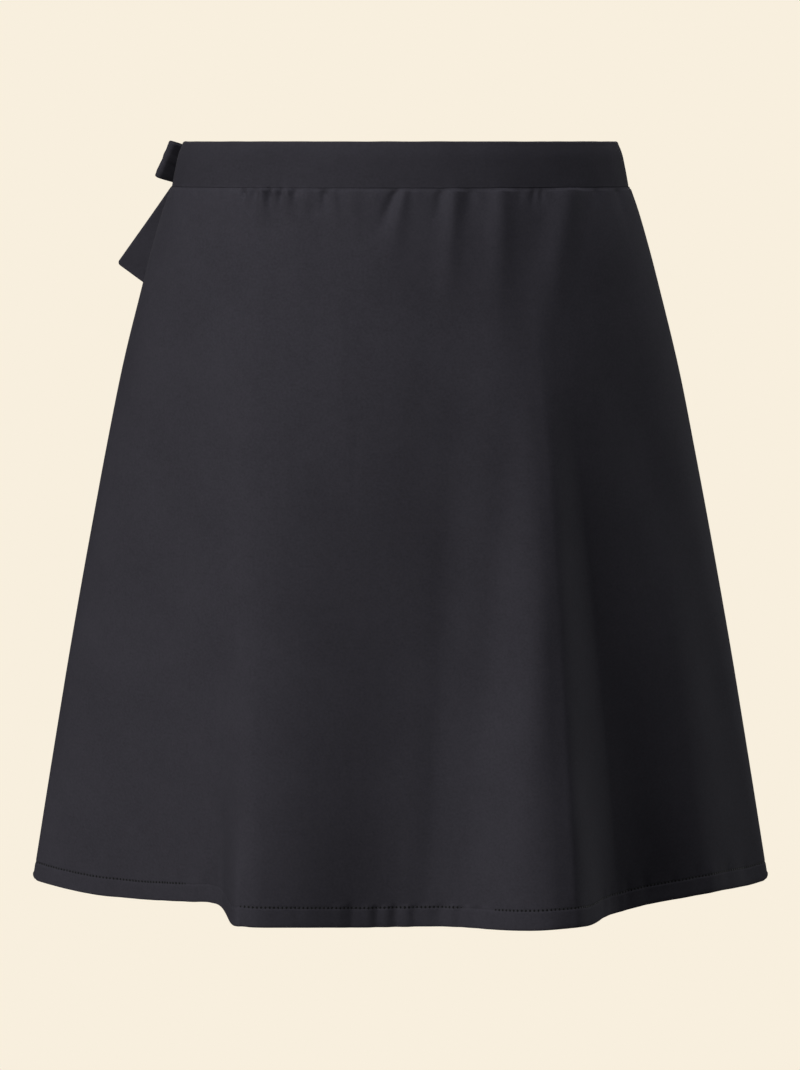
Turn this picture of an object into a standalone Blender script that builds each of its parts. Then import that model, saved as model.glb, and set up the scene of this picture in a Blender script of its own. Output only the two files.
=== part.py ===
"""Tennis skort: a flared knit skirt with a turned hem over plain inner shorts, on one elastic waistband,
with a bow tied on the wearer's front left.

The garment is filled out as on a general figure, and open at the waist, the hem and both legs.
Frame: metres, +Z up, +Y towards the wearer's front, +X towards the wearer's right. The origin is the
centre of the waist at the waistband's mid height.
"""

import math
from collections import namedtuple

import bmesh
import bpy
import numpy as np
from mathutils import Vector

# ---------------------------------------------------------------- driving dimensions

SEAM_GAP = 0.0003  # clear space between two pieces that are sewn or tied together

BAND_HEIGHT = 0.025
BAND_THICKNESS = 0.003
BAND_ROUND = BAND_THICKNESS / 2  # the cover folds over the band's top edge
WAIST_FLATTENING = 0.0400  # the waist's half width less its half depth

SKIRT_WALL = 0.0012
SKIRT_LENGTH = 0.3905  # from the band seam to the hem
HEM_TURN = 0.0115  # depth of the turned hem
HEM_WALL = 2 * SKIRT_WALL
HEM_STEP = 0.0005  # height over which the wall doubles at the hem's raw edge
HEM_DIP_POWER = 3  # how late the hem's unevenness begins on the way down
FOLD_EASE = 0.08  # share of a fold's length over which it starts

SHORTS_WALL = 0.0011

TIE_WIDTH = 0.022
TIE_ROOT_WIDTH = 0.011  # the tie is gathered where it leaves the knot
TIE_THICKNESS = 0.0018
TIE_SPREAD = 0.008  # length over which it opens to its full width
KNOT_ANGLE = math.radians(148.5)  # round the waist, from +X towards +Y
KNOT_DROP = 0.0056  # below the band's mid height
KNOT_SIZE = (0.016, 0.0105, 0.021)  # along the band, out from it, and up
KNOT_SQUARENESS = 2.8  # 2 is an ellipsoid, higher is boxier
KNOT_SEAT = 0.0003  # the knot's middle stands this far off the band, so that its ends clear it too
LOOP_ROOT_SPLIT = 0.0026  # distance between a loop's two layers at the knot
ROOT_DEPTH = LOOP_ROOT_SPLIT + TIE_THICKNESS
REACH_STEP = 0.00005

SKIRT_TOP = -BAND_HEIGHT / 2 - SEAM_GAP

# Half width of the band's outer face at heights from its mid height.
BandRow = namedtuple("BandRow", "height half_width")
BAND_ROWS = [
    BandRow(-0.0125, 0.1263),
    BandRow(-0.0020, 0.1243),
    BandRow(0.0067, 0.1222),
    BandRow(0.0125, 0.1197),
]

# Plan of the skirt's outer face, without its folds, at drops below the band seam. A side value of 1 makes the plan
# an ellipse, and a higher one draws it to a point at the side seams.
SkirtRow = namedtuple("SkirtRow", "drop half_width depth_back depth_front side_back side_front")
SKIRT_ROWS = [
    SkirtRow(0.000, 0.1272, 0.0872, 0.0872, 1.00, 1.00),
    SkirtRow(0.010, 0.1308, 0.0900, 0.0892, 1.00, 1.00),
    SkirtRow(0.030, 0.1368, 0.0940, 0.0925, 1.00, 1.00),
    SkirtRow(0.060, 0.1447, 0.0943, 0.0965, 0.98, 1.00),
    SkirtRow(0.100, 0.1547, 0.0979, 0.1000, 1.07, 1.00),
    SkirtRow(0.150, 0.1649, 0.0979, 0.1005, 1.10, 1.02),
    SkirtRow(0.200, 0.1745, 0.0949, 0.0990, 1.10, 1.06),
    SkirtRow(0.260, 0.1854, 0.0919, 0.0960, 1.15, 1.12),
    SkirtRow(0.320, 0.1957, 0.0925, 0.0930, 1.38, 1.17),
    SkirtRow(0.3905, 0.2072, 0.0909, 0.0900, 1.64, 1.20),
]

# Folds of the skirt's panels. centre, flat, left and right are shares of the half width at the hem: a fold rises over
# left, is level over flat and falls over right. It begins at the share start of the skirt's length, reaches its
# height at the hem and grows by power on the way. lean moves its centre at the waist, and narrow is its width there.
Fold = namedtuple("Fold", "name centre flat left right height start power lean narrow")
BACK_FOLDS = [
    Fold("centre_block", 0.014, 0.971, 0.307, 0.279, 0.0222, 0.08, 0.50, 0.02, 1.11),
    Fold("left_shoulder", -0.411, 0.010, 0.050, 0.408, 0.0273, 0.13, 1.59, -0.13, 1.51),
    Fold("left_tuck", -0.570, 0.170, 0.150, 0.050, -0.0060, 0.70, 1.40, 0.00, 1.00),
    Fold("right_ridge", 0.427, 0.037, 0.360, 0.132, 0.0415, 0.09, 1.16, 0.05, 0.75),
    Fold("right_side", 0.808, 0.010, 0.227, 0.175, 0.0153, 0.38, 0.79, -0.04, 0.60),
]
FRONT_FOLDS = [
    Fold("left_flute", -0.430, 0.04, 0.320, 0.260, 0.024, 0.30, 1.20, 0.03, 0.80),
    Fold("middle_flute", 0.060, 0.06, 0.250, 0.280, 0.013, 0.40, 1.10, -0.04, 0.85),
    Fold("right_flute", 0.540, 0.04, 0.240, 0.260, 0.024, 0.28, 1.25, -0.03, 0.80),
]

# How much lower than level the hem hangs, at shares of the half width.
HemRow = namedtuple("HemRow", "across dip")
BACK_HEM_ROWS = [
    HemRow(-1.00, -0.0022),
    HemRow(-0.95, -0.0016),
    HemRow(-0.85, -0.0005),
    HemRow(-0.75, -0.0002),
    HemRow(-0.68, -0.0010),
    HemRow(-0.62, -0.0028),
    HemRow(-0.56, -0.0044),
    HemRow(-0.50, -0.0056),
    HemRow(-0.475, -0.0047),
    HemRow(-0.455, -0.0015),
    HemRow(-0.44, 0.0006),
    HemRow(-0.42, -0.0006),
    HemRow(-0.38, -0.0006),
    HemRow(-0.30, -0.0003),
    HemRow(-0.20, 0.0008),
    HemRow(-0.10, 0.0022),
    HemRow(0.06, 0.0024),
    HemRow(0.20, 0.0008),
    HemRow(0.33, -0.0012),
    HemRow(0.42, -0.0022),
    HemRow(0.465, -0.0021),
    HemRow(0.49, -0.0009),
    HemRow(0.53, -0.0004),
    HemRow(0.57, 0.0003),
    HemRow(0.62, -0.0007),
    HemRow(0.68, -0.0019),
    HemRow(0.74, -0.0028),
    HemRow(0.80, -0.0038),
    HemRow(0.86, -0.0040),
    HemRow(0.90, -0.0032),
    HemRow(0.95, -0.0020),
    HemRow(1.00, -0.0022),
]
FRONT_HEM_ROWS = [
    HemRow(-1.00, -0.0015),
    HemRow(-0.42, 0.0000),
    HemRow(-0.15, 0.0018),
    HemRow(0.10, 0.0000),
    HemRow(0.35, 0.0015),
    HemRow(0.60, -0.0005),
    HemRow(1.00, -0.0015),
]

# Plan of one half of the shorts' outer face: an ellipse about a centre that moves out from the middle of the
# body. Above the crotch the middle plane cuts it open, and below it is a whole leg.
ShortsRow = namedtuple("ShortsRow", "drop centre half_width depth_back depth_front")
SHORTS_ROWS = [
    ShortsRow(0.000, 0.0000, 0.1256, 0.0854, 0.0854),
    ShortsRow(0.040, 0.0000, 0.1335, 0.0920, 0.0880),
    ShortsRow(0.090, 0.0010, 0.1405, 0.0995, 0.0890),
    ShortsRow(0.150, 0.0120, 0.1360, 0.1020, 0.0875),
    ShortsRow(0.200, 0.0400, 0.1110, 0.0960, 0.0830),
    ShortsRow(0.245, 0.0776, 0.0774, 0.0830, 0.0760),
    ShortsRow(0.285, 0.0790, 0.0735, 0.0730, 0.0700),
    ShortsRow(0.325, 0.0800, 0.0700, 0.0690, 0.0670),
]

# ---------------------------------------------------------------- how finely the faces are cut

CURVE_STEPS = 720
BAND_COLUMNS = 56
BACK_COLUMNS = 50
FRONT_COLUMNS = 38
SHORTS_COLUMNS = 24
BAND_ROUND_TURNS = (45.0, 90.0, 135.0)  # where the band's rounded top edge is cut, in degrees
SKIRT_DROPS = [0.0, 0.014, 0.035, 0.065, 0.100, 0.140, 0.180, 0.220, 0.260, 0.300, 0.340,
               SKIRT_LENGTH - HEM_TURN - HEM_STEP, SKIRT_LENGTH - HEM_TURN, SKIRT_LENGTH]
SHORTS_DROPS = [0.0, 0.035, 0.075, 0.115, 0.155, 0.190, 0.215, 0.232, 0.241, 0.246, 0.268, 0.296, 0.325]
KNOT_SEGMENTS = 14
KNOT_RINGS = 9
LOOP_ARC_STEPS = 8
TIE_STATIONS = 7
STATION_POWER = 1.5  # above 1, a tie end's stations lie closer together where it opens
CREASE_ANGLE = math.radians(50)  # faces that meet more sharply than this show an edge

# ---------------------------------------------------------------- materials

Cloth = namedtuple("Cloth", "colour roughness")
KNIT = Cloth((0.030, 0.029, 0.034), 0.85)
LINING_KNIT = Cloth((0.026, 0.026, 0.030), 0.88)
RIB = Cloth((0.031, 0.030, 0.035), 0.82)
TIE_KNIT = Cloth((0.029, 0.028, 0.033), 0.84)


# ---------------------------------------------------------------- curves and tables


def smooth_step(value):
    """0 to 1 with level ends."""
    value = np.clip(value, 0.0, 1.0)
    return value * value * (3.0 - 2.0 * value)


def smooth_column(table, column, places):
    """Read one column of a table at the given places of its first column, on a smooth curve."""
    known = np.array([row[0] for row in table])
    values = np.array([getattr(row, column) for row in table])
    slopes = np.gradient(values, known)
    places = np.asarray(places, dtype=float)
    index = np.clip(np.searchsorted(known, places) - 1, 0, len(known) - 2)
    span = known[index + 1] - known[index]
    part = (places - known[index]) / span
    start = values[index] * (1 + 2 * part) * (1 - part) ** 2
    start += slopes[index] * span * part * (1 - part) ** 2
    end = values[index + 1] * (3 - 2 * part) * part**2
    end -= slopes[index + 1] * span * (1 - part) * part**2
    return start + end


def evenly_spaced(points, count):
    """Resample a row of points so that its cloth is shared equally between count columns."""
    steps = np.linalg.norm(np.diff(points, axis=0), axis=1)
    length = np.concatenate(([0.0], np.cumsum(steps)))
    wanted = np.linspace(0.0, length[-1], count + 1)
    return np.column_stack([np.interp(wanted, length, points[:, axis]) for axis in range(3)])


# ---------------------------------------------------------------- skirt


def fold_height(fold, across, share):
    """How far one fold stands out, at shares of the half width and one share of the length."""
    part = max(0.0, (share - fold.start) / (1.0 - fold.start))
    grown = (part * part * (1.0 + FOLD_EASE) / (part + FOLD_EASE)) ** fold.power
    width = fold.narrow + (1.0 - fold.narrow) * share
    centre = fold.centre + fold.lean * (1.0 - share)
    left_edge = centre - fold.flat * width / 2
    right_edge = centre + fold.flat * width / 2
    rise = smooth_step((across - left_edge) / (fold.left * width) + 1.0)
    fall = smooth_step((right_edge - across) / (fold.right * width) + 1.0)
    return fold.height * grown * rise * fall


def skirt_row(folds, hem_rows, side, direction, drop):
    """Outer face of a panel at one drop, from the wearer's left to right, in many points."""
    share = drop / SKIRT_LENGTH
    turn = np.linspace(-math.pi / 2, math.pi / 2, CURVE_STEPS + 1)
    across = np.sin(turn)
    half_width = smooth_column(SKIRT_ROWS, "half_width", drop)
    side_power = smooth_column(SKIRT_ROWS, "side_" + side, drop)
    depth = smooth_column(SKIRT_ROWS, "depth_" + side, drop) * np.clip(np.cos(turn), 0.0, 1.0) ** side_power
    for fold in folds:
        depth = depth + fold_height(fold, across, share)
    dip = smooth_column(hem_rows, "dip", across) * share**HEM_DIP_POWER
    return np.column_stack([
        half_width * across,
        direction * (depth + SEAM_GAP / 2),
        SKIRT_TOP - drop - dip,
    ])


def skirt_panel_grid(folds, hem_rows, side, direction, columns):
    """Rows of points from the band seam down, each running anticlockwise seen from above."""
    rows = []
    for drop in SKIRT_DROPS:
        row = evenly_spaced(skirt_row(folds, hem_rows, side, direction, drop), columns)
        rows.append(row if direction < 0 else row[::-1])
    return np.array(rows)


def skirt_wall(drop):
    """Thickness of the skirt's wall, doubled by the turned hem."""
    return HEM_WALL if drop >= SKIRT_LENGTH - HEM_TURN else SKIRT_WALL


# ---------------------------------------------------------------- shorts


def shorts_row(drop):
    """Outer face of the right half at one drop, from its back edge round the side to its front edge."""
    centre = smooth_column(SHORTS_ROWS, "centre", drop)
    half_width = smooth_column(SHORTS_ROWS, "half_width", drop)
    depth_back = smooth_column(SHORTS_ROWS, "depth_back", drop)
    depth_front = smooth_column(SHORTS_ROWS, "depth_front", drop)
    inseam_turn = math.pi - SEAM_GAP / (depth_back + depth_front)
    middle_cosine = (SEAM_GAP / 2 - centre) / half_width
    last_turn = min(math.acos(max(-1.0, middle_cosine)), inseam_turn)
    turn = np.linspace(-last_turn, last_turn, CURVE_STEPS + 1)
    depth = np.where(turn < 0.0, depth_back, depth_front)
    return np.column_stack([
        centre + half_width * np.cos(turn),
        depth * np.sin(turn),
        np.full_like(turn, SKIRT_TOP - drop),
    ])


def shorts_grid(side):
    """Rows of points of one half, side +1 for the wearer's right, running anticlockwise seen from above."""
    rows = []
    for drop in SHORTS_DROPS:
        row = evenly_spaced(shorts_row(drop), SHORTS_COLUMNS)
        rows.append(row if side > 0 else row[::-1] * np.array([-1.0, 1.0, 1.0]))
    return np.array(rows)


# ---------------------------------------------------------------- waistband


def band_half_width(height):
    return smooth_column(BAND_ROWS, "half_width", height)


def band_profile():
    """The band's section as pairs of height and inset from its outer face, up the outside and down the inside."""
    shoulder = BAND_HEIGHT / 2 - BAND_ROUND
    walls = [-BAND_HEIGHT / 2, -BAND_HEIGHT / 4, 0.0, BAND_HEIGHT / 4]
    outside = [(height, 0.0) for height in walls + [shoulder]]
    over = []
    for turn in BAND_ROUND_TURNS:
        angle = math.radians(turn)
        over.append((shoulder + BAND_ROUND * math.sin(angle), BAND_ROUND - BAND_ROUND * math.cos(angle)))
    inside = [(height, BAND_THICKNESS) for height, _ in reversed(outside)]
    return outside + over + inside


def waist_point(angle, height, outward=0.0):
    """A point on the band's outer face, or outward from it along the plan's normal."""
    half_width = band_half_width(height)
    half_depth = half_width - WAIST_FLATTENING
    normal = Vector((math.cos(angle) / half_width, math.sin(angle) / half_depth, 0.0)).normalized()
    face = Vector((half_width * math.cos(angle), half_depth * math.sin(angle), height))
    return face + normal * outward


# ---------------------------------------------------------------- bow


def knot_frame():
    """Where the knot sits: its centre and the directions along the band, out from it and up its leaning face."""
    seat = waist_point(KNOT_ANGLE, -KNOT_DROP)
    above = waist_point(KNOT_ANGLE, BAND_HEIGHT / 4)
    below = waist_point(KNOT_ANGLE, -BAND_HEIGHT / 2)
    up = (above - below).normalized()
    along = (waist_point(KNOT_ANGLE, -KNOT_DROP, 1.0) - seat).cross(up).normalized()
    outward = up.cross(along)
    centre = seat + outward * (KNOT_SEAT + KNOT_SIZE[1] / 2)
    return centre, along, outward, up


def knot_level(point):
    """Below 1 inside the knot and above it outside, for a point in the knot's own frame."""
    return sum(abs(part / (size / 2)) ** KNOT_SQUARENESS for part, size in zip(point, KNOT_SIZE))


def root_reach(shift, lead, across):
    """How far along its lead a ribbon's end lies clear of the knot, in the knot's own frame."""
    face = lead.cross(across)
    sides = [across * (TIE_ROOT_WIDTH / 2 * side) for side in (-1.0, -0.5, 0.0, 0.5, 1.0)]
    layers = [face * (ROOT_DEPTH / 2 * layer) for layer in (-1.0, -0.5, 0.0, 0.5, 1.0)]
    corners = [side + layer for side in sides for layer in layers]
    reach = 0.0
    while min(knot_level(shift + lead * reach + corner) for corner in corners) < 1.0:
        reach += REACH_STEP
    return reach + SEAM_GAP


# A loop or an end of the tie leaves the knot along lead, and its width lies along across, both in the garment's
# frame. forward is how far in front of the knot's centre it starts, and bend is the radius of a loop's tip, or how
# far an end curls away over its length.
Ribbon = namedtuple("Ribbon", "name lead across forward length bend")
LOOPS = [
    Ribbon("bow_loop_back", (-0.72, -0.60, 0.24), (-0.45, 0.12, -0.89), 0.0, 0.0205, 0.0027),
    Ribbon("bow_loop_front", (0.50, 0.86, -0.04), (-0.08, 0.02, -1.00), 0.0, 0.0300, 0.0034),
]
ENDS = [
    Ribbon("tie_end_back", (-0.578, 0.050, -0.816), (0.790, -0.150, -0.530), 0.0014, 0.0608, 0.0015),
    Ribbon("tie_end_front", (-0.100, 0.400, -0.900), (0.620, 0.740, 0.250), 0.0058, 0.0640, 0.0040),
]


def in_frame(vector, axes):
    """A vector of the garment's frame, as its parts along three axes."""
    return Vector([vector.dot(axis) for axis in axes])


def ribbon_axes(ribbon):
    """The ribbon's start, its lead, its width direction and its face direction."""
    centre, *axes = knot_frame()
    lead = Vector(ribbon.lead).normalized()
    across = Vector(ribbon.across)
    across = (across - lead * across.dot(lead)).normalized()
    shift = Vector((0.0, ribbon.forward, 0.0))
    reach = root_reach(in_frame(shift, axes), in_frame(lead, axes), in_frame(across, axes))
    return centre + shift + lead * reach, lead, across, lead.cross(across)


def loop_path(length, radius):
    """A loop seen along its width: out on one side, round the tip and back, as pairs of reach and offset."""
    tip = length - radius
    slant = math.asin((radius - LOOP_ROOT_SPLIT / 2) / tip)
    path = [(0.0, -LOOP_ROOT_SPLIT / 2)]
    for step in range(LOOP_ARC_STEPS + 1):
        angle = -(math.pi / 2 + slant) + (math.pi + 2 * slant) * step / LOOP_ARC_STEPS
        path.append((tip + radius * math.cos(angle), radius * math.sin(angle)))
    path.append((0.0, LOOP_ROOT_SPLIT / 2))
    return path


def tie_width(reach):
    """The tie's width at a distance from the knot."""
    return TIE_ROOT_WIDTH + (TIE_WIDTH - TIE_ROOT_WIDTH) * float(smooth_step(reach / TIE_SPREAD))


def ribbon_faces(centres, faces, across, widths):
    """The two faces of a strip of the tie, as grids of points."""
    outer = []
    inner = []
    for centre, face, width in zip(centres, faces, widths):
        edges = [centre - across * width / 2, centre, centre + across * width / 2]
        outer.append([edge + face * TIE_THICKNESS / 2 for edge in edges])
        inner.append([edge - face * TIE_THICKNESS / 2 for edge in edges])
    return np.array(outer), np.array(inner)


# ---------------------------------------------------------------- meshes


def grid_normals(grid):
    """Unit normals of a grid whose rows run down and whose columns run anticlockwise seen from above."""
    down = np.gradient(grid, axis=0)
    along = np.gradient(grid, axis=1)
    normals = np.cross(down, along)
    return normals / np.linalg.norm(normals, axis=2, keepdims=True)


def wall_faces(rows, columns):
    """Faces of a closed wall whose outer points come first and whose inner points follow."""
    inner = rows * columns
    faces = []
    for row in range(rows - 1):
        for column in range(columns - 1):
            corner = row * columns + column
            ring = (corner, corner + columns, corner + columns + 1, corner + 1)
            faces.append(ring)
            faces.append(tuple(index + inner for index in reversed(ring)))
    rim = [column for column in range(columns)]
    rim += [row * columns + columns - 1 for row in range(1, rows)]
    rim += [(rows - 1) * columns + column for column in range(columns - 2, -1, -1)]
    rim += [row * columns for row in range(rows - 2, 0, -1)]
    for index, here in enumerate(rim):
        there = rim[(index + 1) % len(rim)]
        faces.append((here, there, there + inner, here + inner))
    return faces


def make_material(name, cloth):
    material = bpy.data.materials.new(name)
    material.use_nodes = True
    shader = material.node_tree.nodes["Principled BSDF"]
    shader.inputs["Base Color"].default_value = (*cloth.colour, 1.0)
    shader.inputs["Roughness"].default_value = cloth.roughness
    shader.inputs["Metallic"].default_value = 0.0
    return material


def add_piece(name, points, faces, cloth):
    """Make one named object from points and faces."""
    mesh = bpy.data.meshes.new(name)
    mesh.from_pydata([tuple(point) for point in points], [], faces)
    solid = bmesh.new()
    solid.from_mesh(mesh)
    bmesh.ops.triangulate(solid, faces=solid.faces[:])
    bmesh.ops.recalc_face_normals(solid, faces=solid.faces[:])
    solid.to_mesh(mesh)
    solid.free()
    mesh.shade_smooth()
    mesh.set_sharp_from_angle(angle=CREASE_ANGLE)
    mesh.materials.append(make_material(name, cloth))
    piece = bpy.data.objects.new(name, mesh)
    bpy.context.scene.collection.objects.link(piece)
    return piece


def add_wall(name, outer, inner, cloth):
    """Make one closed wall from the grids of its two faces."""
    rows, columns, _ = outer.shape
    points = np.concatenate([outer.reshape(-1, 3), inner.reshape(-1, 3)])
    return add_piece(name, points, wall_faces(rows, columns), cloth)


# ---------------------------------------------------------------- the pieces


def make_waistband():
    profile = band_profile()
    count = len(profile)
    points = []
    for column in range(BAND_COLUMNS):
        angle = 2 * math.pi * column / BAND_COLUMNS
        points += [waist_point(angle, height, -inset) for height, inset in profile]
    faces = []
    for column in range(BAND_COLUMNS):
        here = column * count
        there = (column + 1) % BAND_COLUMNS * count
        for step in range(count):
            after = (step + 1) % count
            faces.append((here + step, there + step, there + after, here + after))
    add_piece("waistband", points, faces, RIB)


def make_skirt_panel(name, folds, hem_rows, side, direction, columns):
    outer = skirt_panel_grid(folds, hem_rows, side, direction, columns)
    walls = np.array([skirt_wall(drop) for drop in SKIRT_DROPS])
    inner = outer - grid_normals(outer) * walls[:, None, None]
    inner[:, [0, -1], 1] = outer[:, [0, -1], 1]  # the side seams' edges lie in one plane
    inner[0, :, 2] = outer[0, :, 2]  # and so does the edge under the band
    add_wall(name, outer, inner, KNIT)


def make_shorts_half(name, side):
    outer = shorts_grid(side)
    inner = outer - grid_normals(outer) * SHORTS_WALL
    inner[:, :, 0] = side * np.maximum(side * inner[:, :, 0], SEAM_GAP / 2)  # neither half crosses the middle
    inner[0, :, 2] = outer[0, :, 2]
    add_wall(name, outer, inner, LINING_KNIT)


def make_knot():
    centre, along, outward, up = knot_frame()
    solid = bmesh.new()
    bmesh.ops.create_uvsphere(solid, u_segments=KNOT_SEGMENTS, v_segments=KNOT_RINGS, radius=1.0)
    for vertex in solid.verts:
        direction = vertex.co.normalized()
        part = direction * knot_level(direction) ** (-1.0 / KNOT_SQUARENESS)
        vertex.co = centre + along * part.x + outward * part.y + up * part.z
    points = [vertex.co.copy() for vertex in solid.verts]
    faces = [[vertex.index for vertex in face.verts] for face in solid.faces]
    solid.free()
    add_piece("bow_knot", points, faces, TIE_KNIT)


def make_loop(ribbon):
    start, lead, across, face = ribbon_axes(ribbon)
    path = np.array(loop_path(ribbon.length, ribbon.bend))
    tangents = np.gradient(path, axis=0)
    centres = [start + lead * reach + face * offset for reach, offset in path]
    faces = [(face * tangent[0] - lead * tangent[1]).normalized() for tangent in tangents]
    widths = [tie_width(reach) for reach, _ in path]
    outer, inner = ribbon_faces(centres, faces, across, widths)
    add_wall(ribbon.name, outer, inner, TIE_KNIT)


def make_end(ribbon):
    start, lead, across, face = ribbon_axes(ribbon)
    centres = []
    faces = []
    widths = []
    for station in range(TIE_STATIONS):
        share = (station / (TIE_STATIONS - 1)) ** STATION_POWER
        reach = ribbon.length * share
        centres.append(start + lead * reach + face * ribbon.bend * share**2)
        slope = 2 * ribbon.bend * share / ribbon.length
        faces.append((face - lead * slope).normalized())
        widths.append(tie_width(reach))
    outer, inner = ribbon_faces(centres, faces, across, widths)
    add_wall(ribbon.name, outer, inner, TIE_KNIT)


def main():
    for existing in list(bpy.data.objects):
        bpy.data.objects.remove(existing, do_unlink=True)
    make_waistband()
    make_skirt_panel("skirt_back", BACK_FOLDS, BACK_HEM_ROWS, "back", -1, BACK_COLUMNS)
    make_skirt_panel("skirt_front", FRONT_FOLDS, FRONT_HEM_ROWS, "front", 1, FRONT_COLUMNS)
    make_shorts_half("shorts_right", 1)
    make_shorts_half("shorts_left", -1)
    make_knot()
    for ribbon in LOOPS:
        make_loop(ribbon)
    for ribbon in ENDS:
        make_end(ribbon)


main()
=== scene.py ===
"""Looks of the tennis skort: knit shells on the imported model's form, with stitched hems and a bow.

Frame: metres, +Z up, +Y towards the wearer's front, +X towards the wearer's right. The origin is the
centre of the waist at the waistband's mid height. The camera looks at the wearer's back.
"""

import math
from collections import namedtuple

import bmesh
import bpy
import numpy as np
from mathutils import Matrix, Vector


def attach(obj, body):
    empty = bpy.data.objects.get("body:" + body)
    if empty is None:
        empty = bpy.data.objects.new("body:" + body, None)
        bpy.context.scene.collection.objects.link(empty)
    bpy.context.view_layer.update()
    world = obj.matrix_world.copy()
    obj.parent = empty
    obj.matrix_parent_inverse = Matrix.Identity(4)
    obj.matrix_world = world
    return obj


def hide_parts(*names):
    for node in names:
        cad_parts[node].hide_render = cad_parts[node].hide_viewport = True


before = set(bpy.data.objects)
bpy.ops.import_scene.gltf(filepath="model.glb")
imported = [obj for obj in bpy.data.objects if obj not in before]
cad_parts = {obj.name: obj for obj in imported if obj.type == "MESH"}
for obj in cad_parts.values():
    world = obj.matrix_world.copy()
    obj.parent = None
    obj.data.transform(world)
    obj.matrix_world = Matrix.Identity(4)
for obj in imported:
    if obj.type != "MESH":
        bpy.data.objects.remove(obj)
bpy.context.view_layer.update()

MM = 0.001


def rows_of(kind, *rows):
    """A table's rows, under the column names of their kind."""
    return [kind(*row) for row in rows]


# ---- the CAD's own sizes, said again

BAND_HEIGHT = 0.025
BAND_THICKNESS = 0.003
WAIST_FLATTENING = 0.0400
SEAM_GAP = 0.0003
SKIRT_WALL = 0.0012
SKIRT_LENGTH = 0.3905
HEM_TURN = 0.0115
HEM_WALL = 2 * SKIRT_WALL
HEM_DIP_POWER = 3
FOLD_EASE = 0.08
SHORTS_WALL = 0.0011
SHORTS_LENGTH = 0.325
SHORTS_HEM = 0.016
TIE_WIDTH = 0.022
TIE_ROOT_WIDTH = 0.011
TIE_THICKNESS = 0.0018
TIE_SPREAD = 0.008
KNOT_ANGLE = math.radians(148.5)
KNOT_DROP = 0.0056
KNOT_SIZE = (0.016, 0.0105, 0.021)
KNOT_SQUARENESS = 2.8
KNOT_SEAT = 0.0003
LOOP_ROOT_SPLIT = 0.0026
ROOT_DEPTH = LOOP_ROOT_SPLIT + TIE_THICKNESS
REACH_STEP = 0.00005
SKIRT_TOP = -BAND_HEIGHT / 2 - SEAM_GAP

BandRow = namedtuple("BandRow", "height half_width")
BAND_ROWS = rows_of(BandRow, (-0.0125, 0.1263), (-0.0020, 0.1243), (0.0067, 0.1222), (0.0125, 0.1197))

SkirtRow = namedtuple("SkirtRow", "drop half_width depth_back depth_front side_back side_front")
SKIRT_ROWS = rows_of(
    SkirtRow,
    (0.000, 0.1272, 0.0872, 0.0872, 1.00, 1.00),
    (0.010, 0.1308, 0.0900, 0.0892, 1.00, 1.00),
    (0.030, 0.1368, 0.0940, 0.0925, 1.00, 1.00),
    (0.060, 0.1447, 0.0943, 0.0965, 0.98, 1.00),
    (0.100, 0.1547, 0.0979, 0.1000, 1.07, 1.00),
    (0.150, 0.1649, 0.0979, 0.1005, 1.10, 1.02),
    (0.200, 0.1745, 0.0949, 0.0990, 1.10, 1.06),
    (0.260, 0.1854, 0.0919, 0.0960, 1.15, 1.12),
    (0.320, 0.1957, 0.0925, 0.0930, 1.38, 1.17),
    (0.3905, 0.2072, 0.0909, 0.0900, 1.64, 1.20),
)

# centre, flat, left, right and lean are shares of the panel's half width, height is metres at the hem,
# start is a share of the length, and narrow is the breadth at the seam as a share of that at the hem.
Fold = namedtuple("Fold", "centre flat left right height start power lean narrow")
BACK_FOLDS = [
    Fold(0.014, 0.971, 0.307, 0.279, 0.0222, 0.08, 0.50, 0.02, 1.11),  # centre block
    Fold(-0.411, 0.010, 0.050, 0.408, 0.0273, 0.13, 1.59, -0.13, 1.51),  # left shoulder
    Fold(-0.570, 0.170, 0.150, 0.050, -0.0060, 0.70, 1.40, 0.00, 1.00),  # left tuck
    Fold(0.427, 0.037, 0.360, 0.132, 0.0415, 0.09, 1.16, 0.05, 0.75),  # right ridge
    Fold(0.808, 0.010, 0.227, 0.175, 0.0153, 0.38, 0.79, -0.04, 0.60),  # right side
]
FRONT_FOLDS = [
    Fold(-0.430, 0.04, 0.320, 0.260, 0.024, 0.30, 1.20, 0.03, 0.80),  # left flute
    Fold(0.060, 0.06, 0.250, 0.280, 0.013, 0.40, 1.10, -0.04, 0.85),  # middle flute
    Fold(0.540, 0.04, 0.240, 0.260, 0.024, 0.28, 1.25, -0.03, 0.80),  # right flute
]

# across is a share of the half width at the hem, and dip is how far the edge hangs lower there.
HemRow = namedtuple("HemRow", "across dip")
BACK_HEM_ROWS = rows_of(
    HemRow,
    (-1.00, -0.0022), (-0.95, -0.0016), (-0.85, -0.0005), (-0.75, -0.0002), (-0.68, -0.0010),
    (-0.62, -0.0028), (-0.56, -0.0044), (-0.50, -0.0056), (-0.475, -0.0047), (-0.455, -0.0015),
    (-0.44, 0.0006), (-0.42, -0.0006), (-0.38, -0.0006), (-0.30, -0.0003), (-0.20, 0.0008),
    (-0.10, 0.0022), (0.06, 0.0024), (0.20, 0.0008), (0.33, -0.0012), (0.42, -0.0022),
    (0.465, -0.0021), (0.49, -0.0009), (0.53, -0.0004), (0.57, 0.0003), (0.62, -0.0007),
    (0.68, -0.0019), (0.74, -0.0028), (0.80, -0.0038), (0.86, -0.0040), (0.90, -0.0032),
    (0.95, -0.0020), (1.00, -0.0022),
)
FRONT_HEM_ROWS = rows_of(
    HemRow,
    (-1.00, -0.0015), (-0.42, 0.0000), (-0.15, 0.0018), (0.10, 0.0000), (0.35, 0.0015),
    (0.60, -0.0005), (1.00, -0.0015),
)

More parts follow.
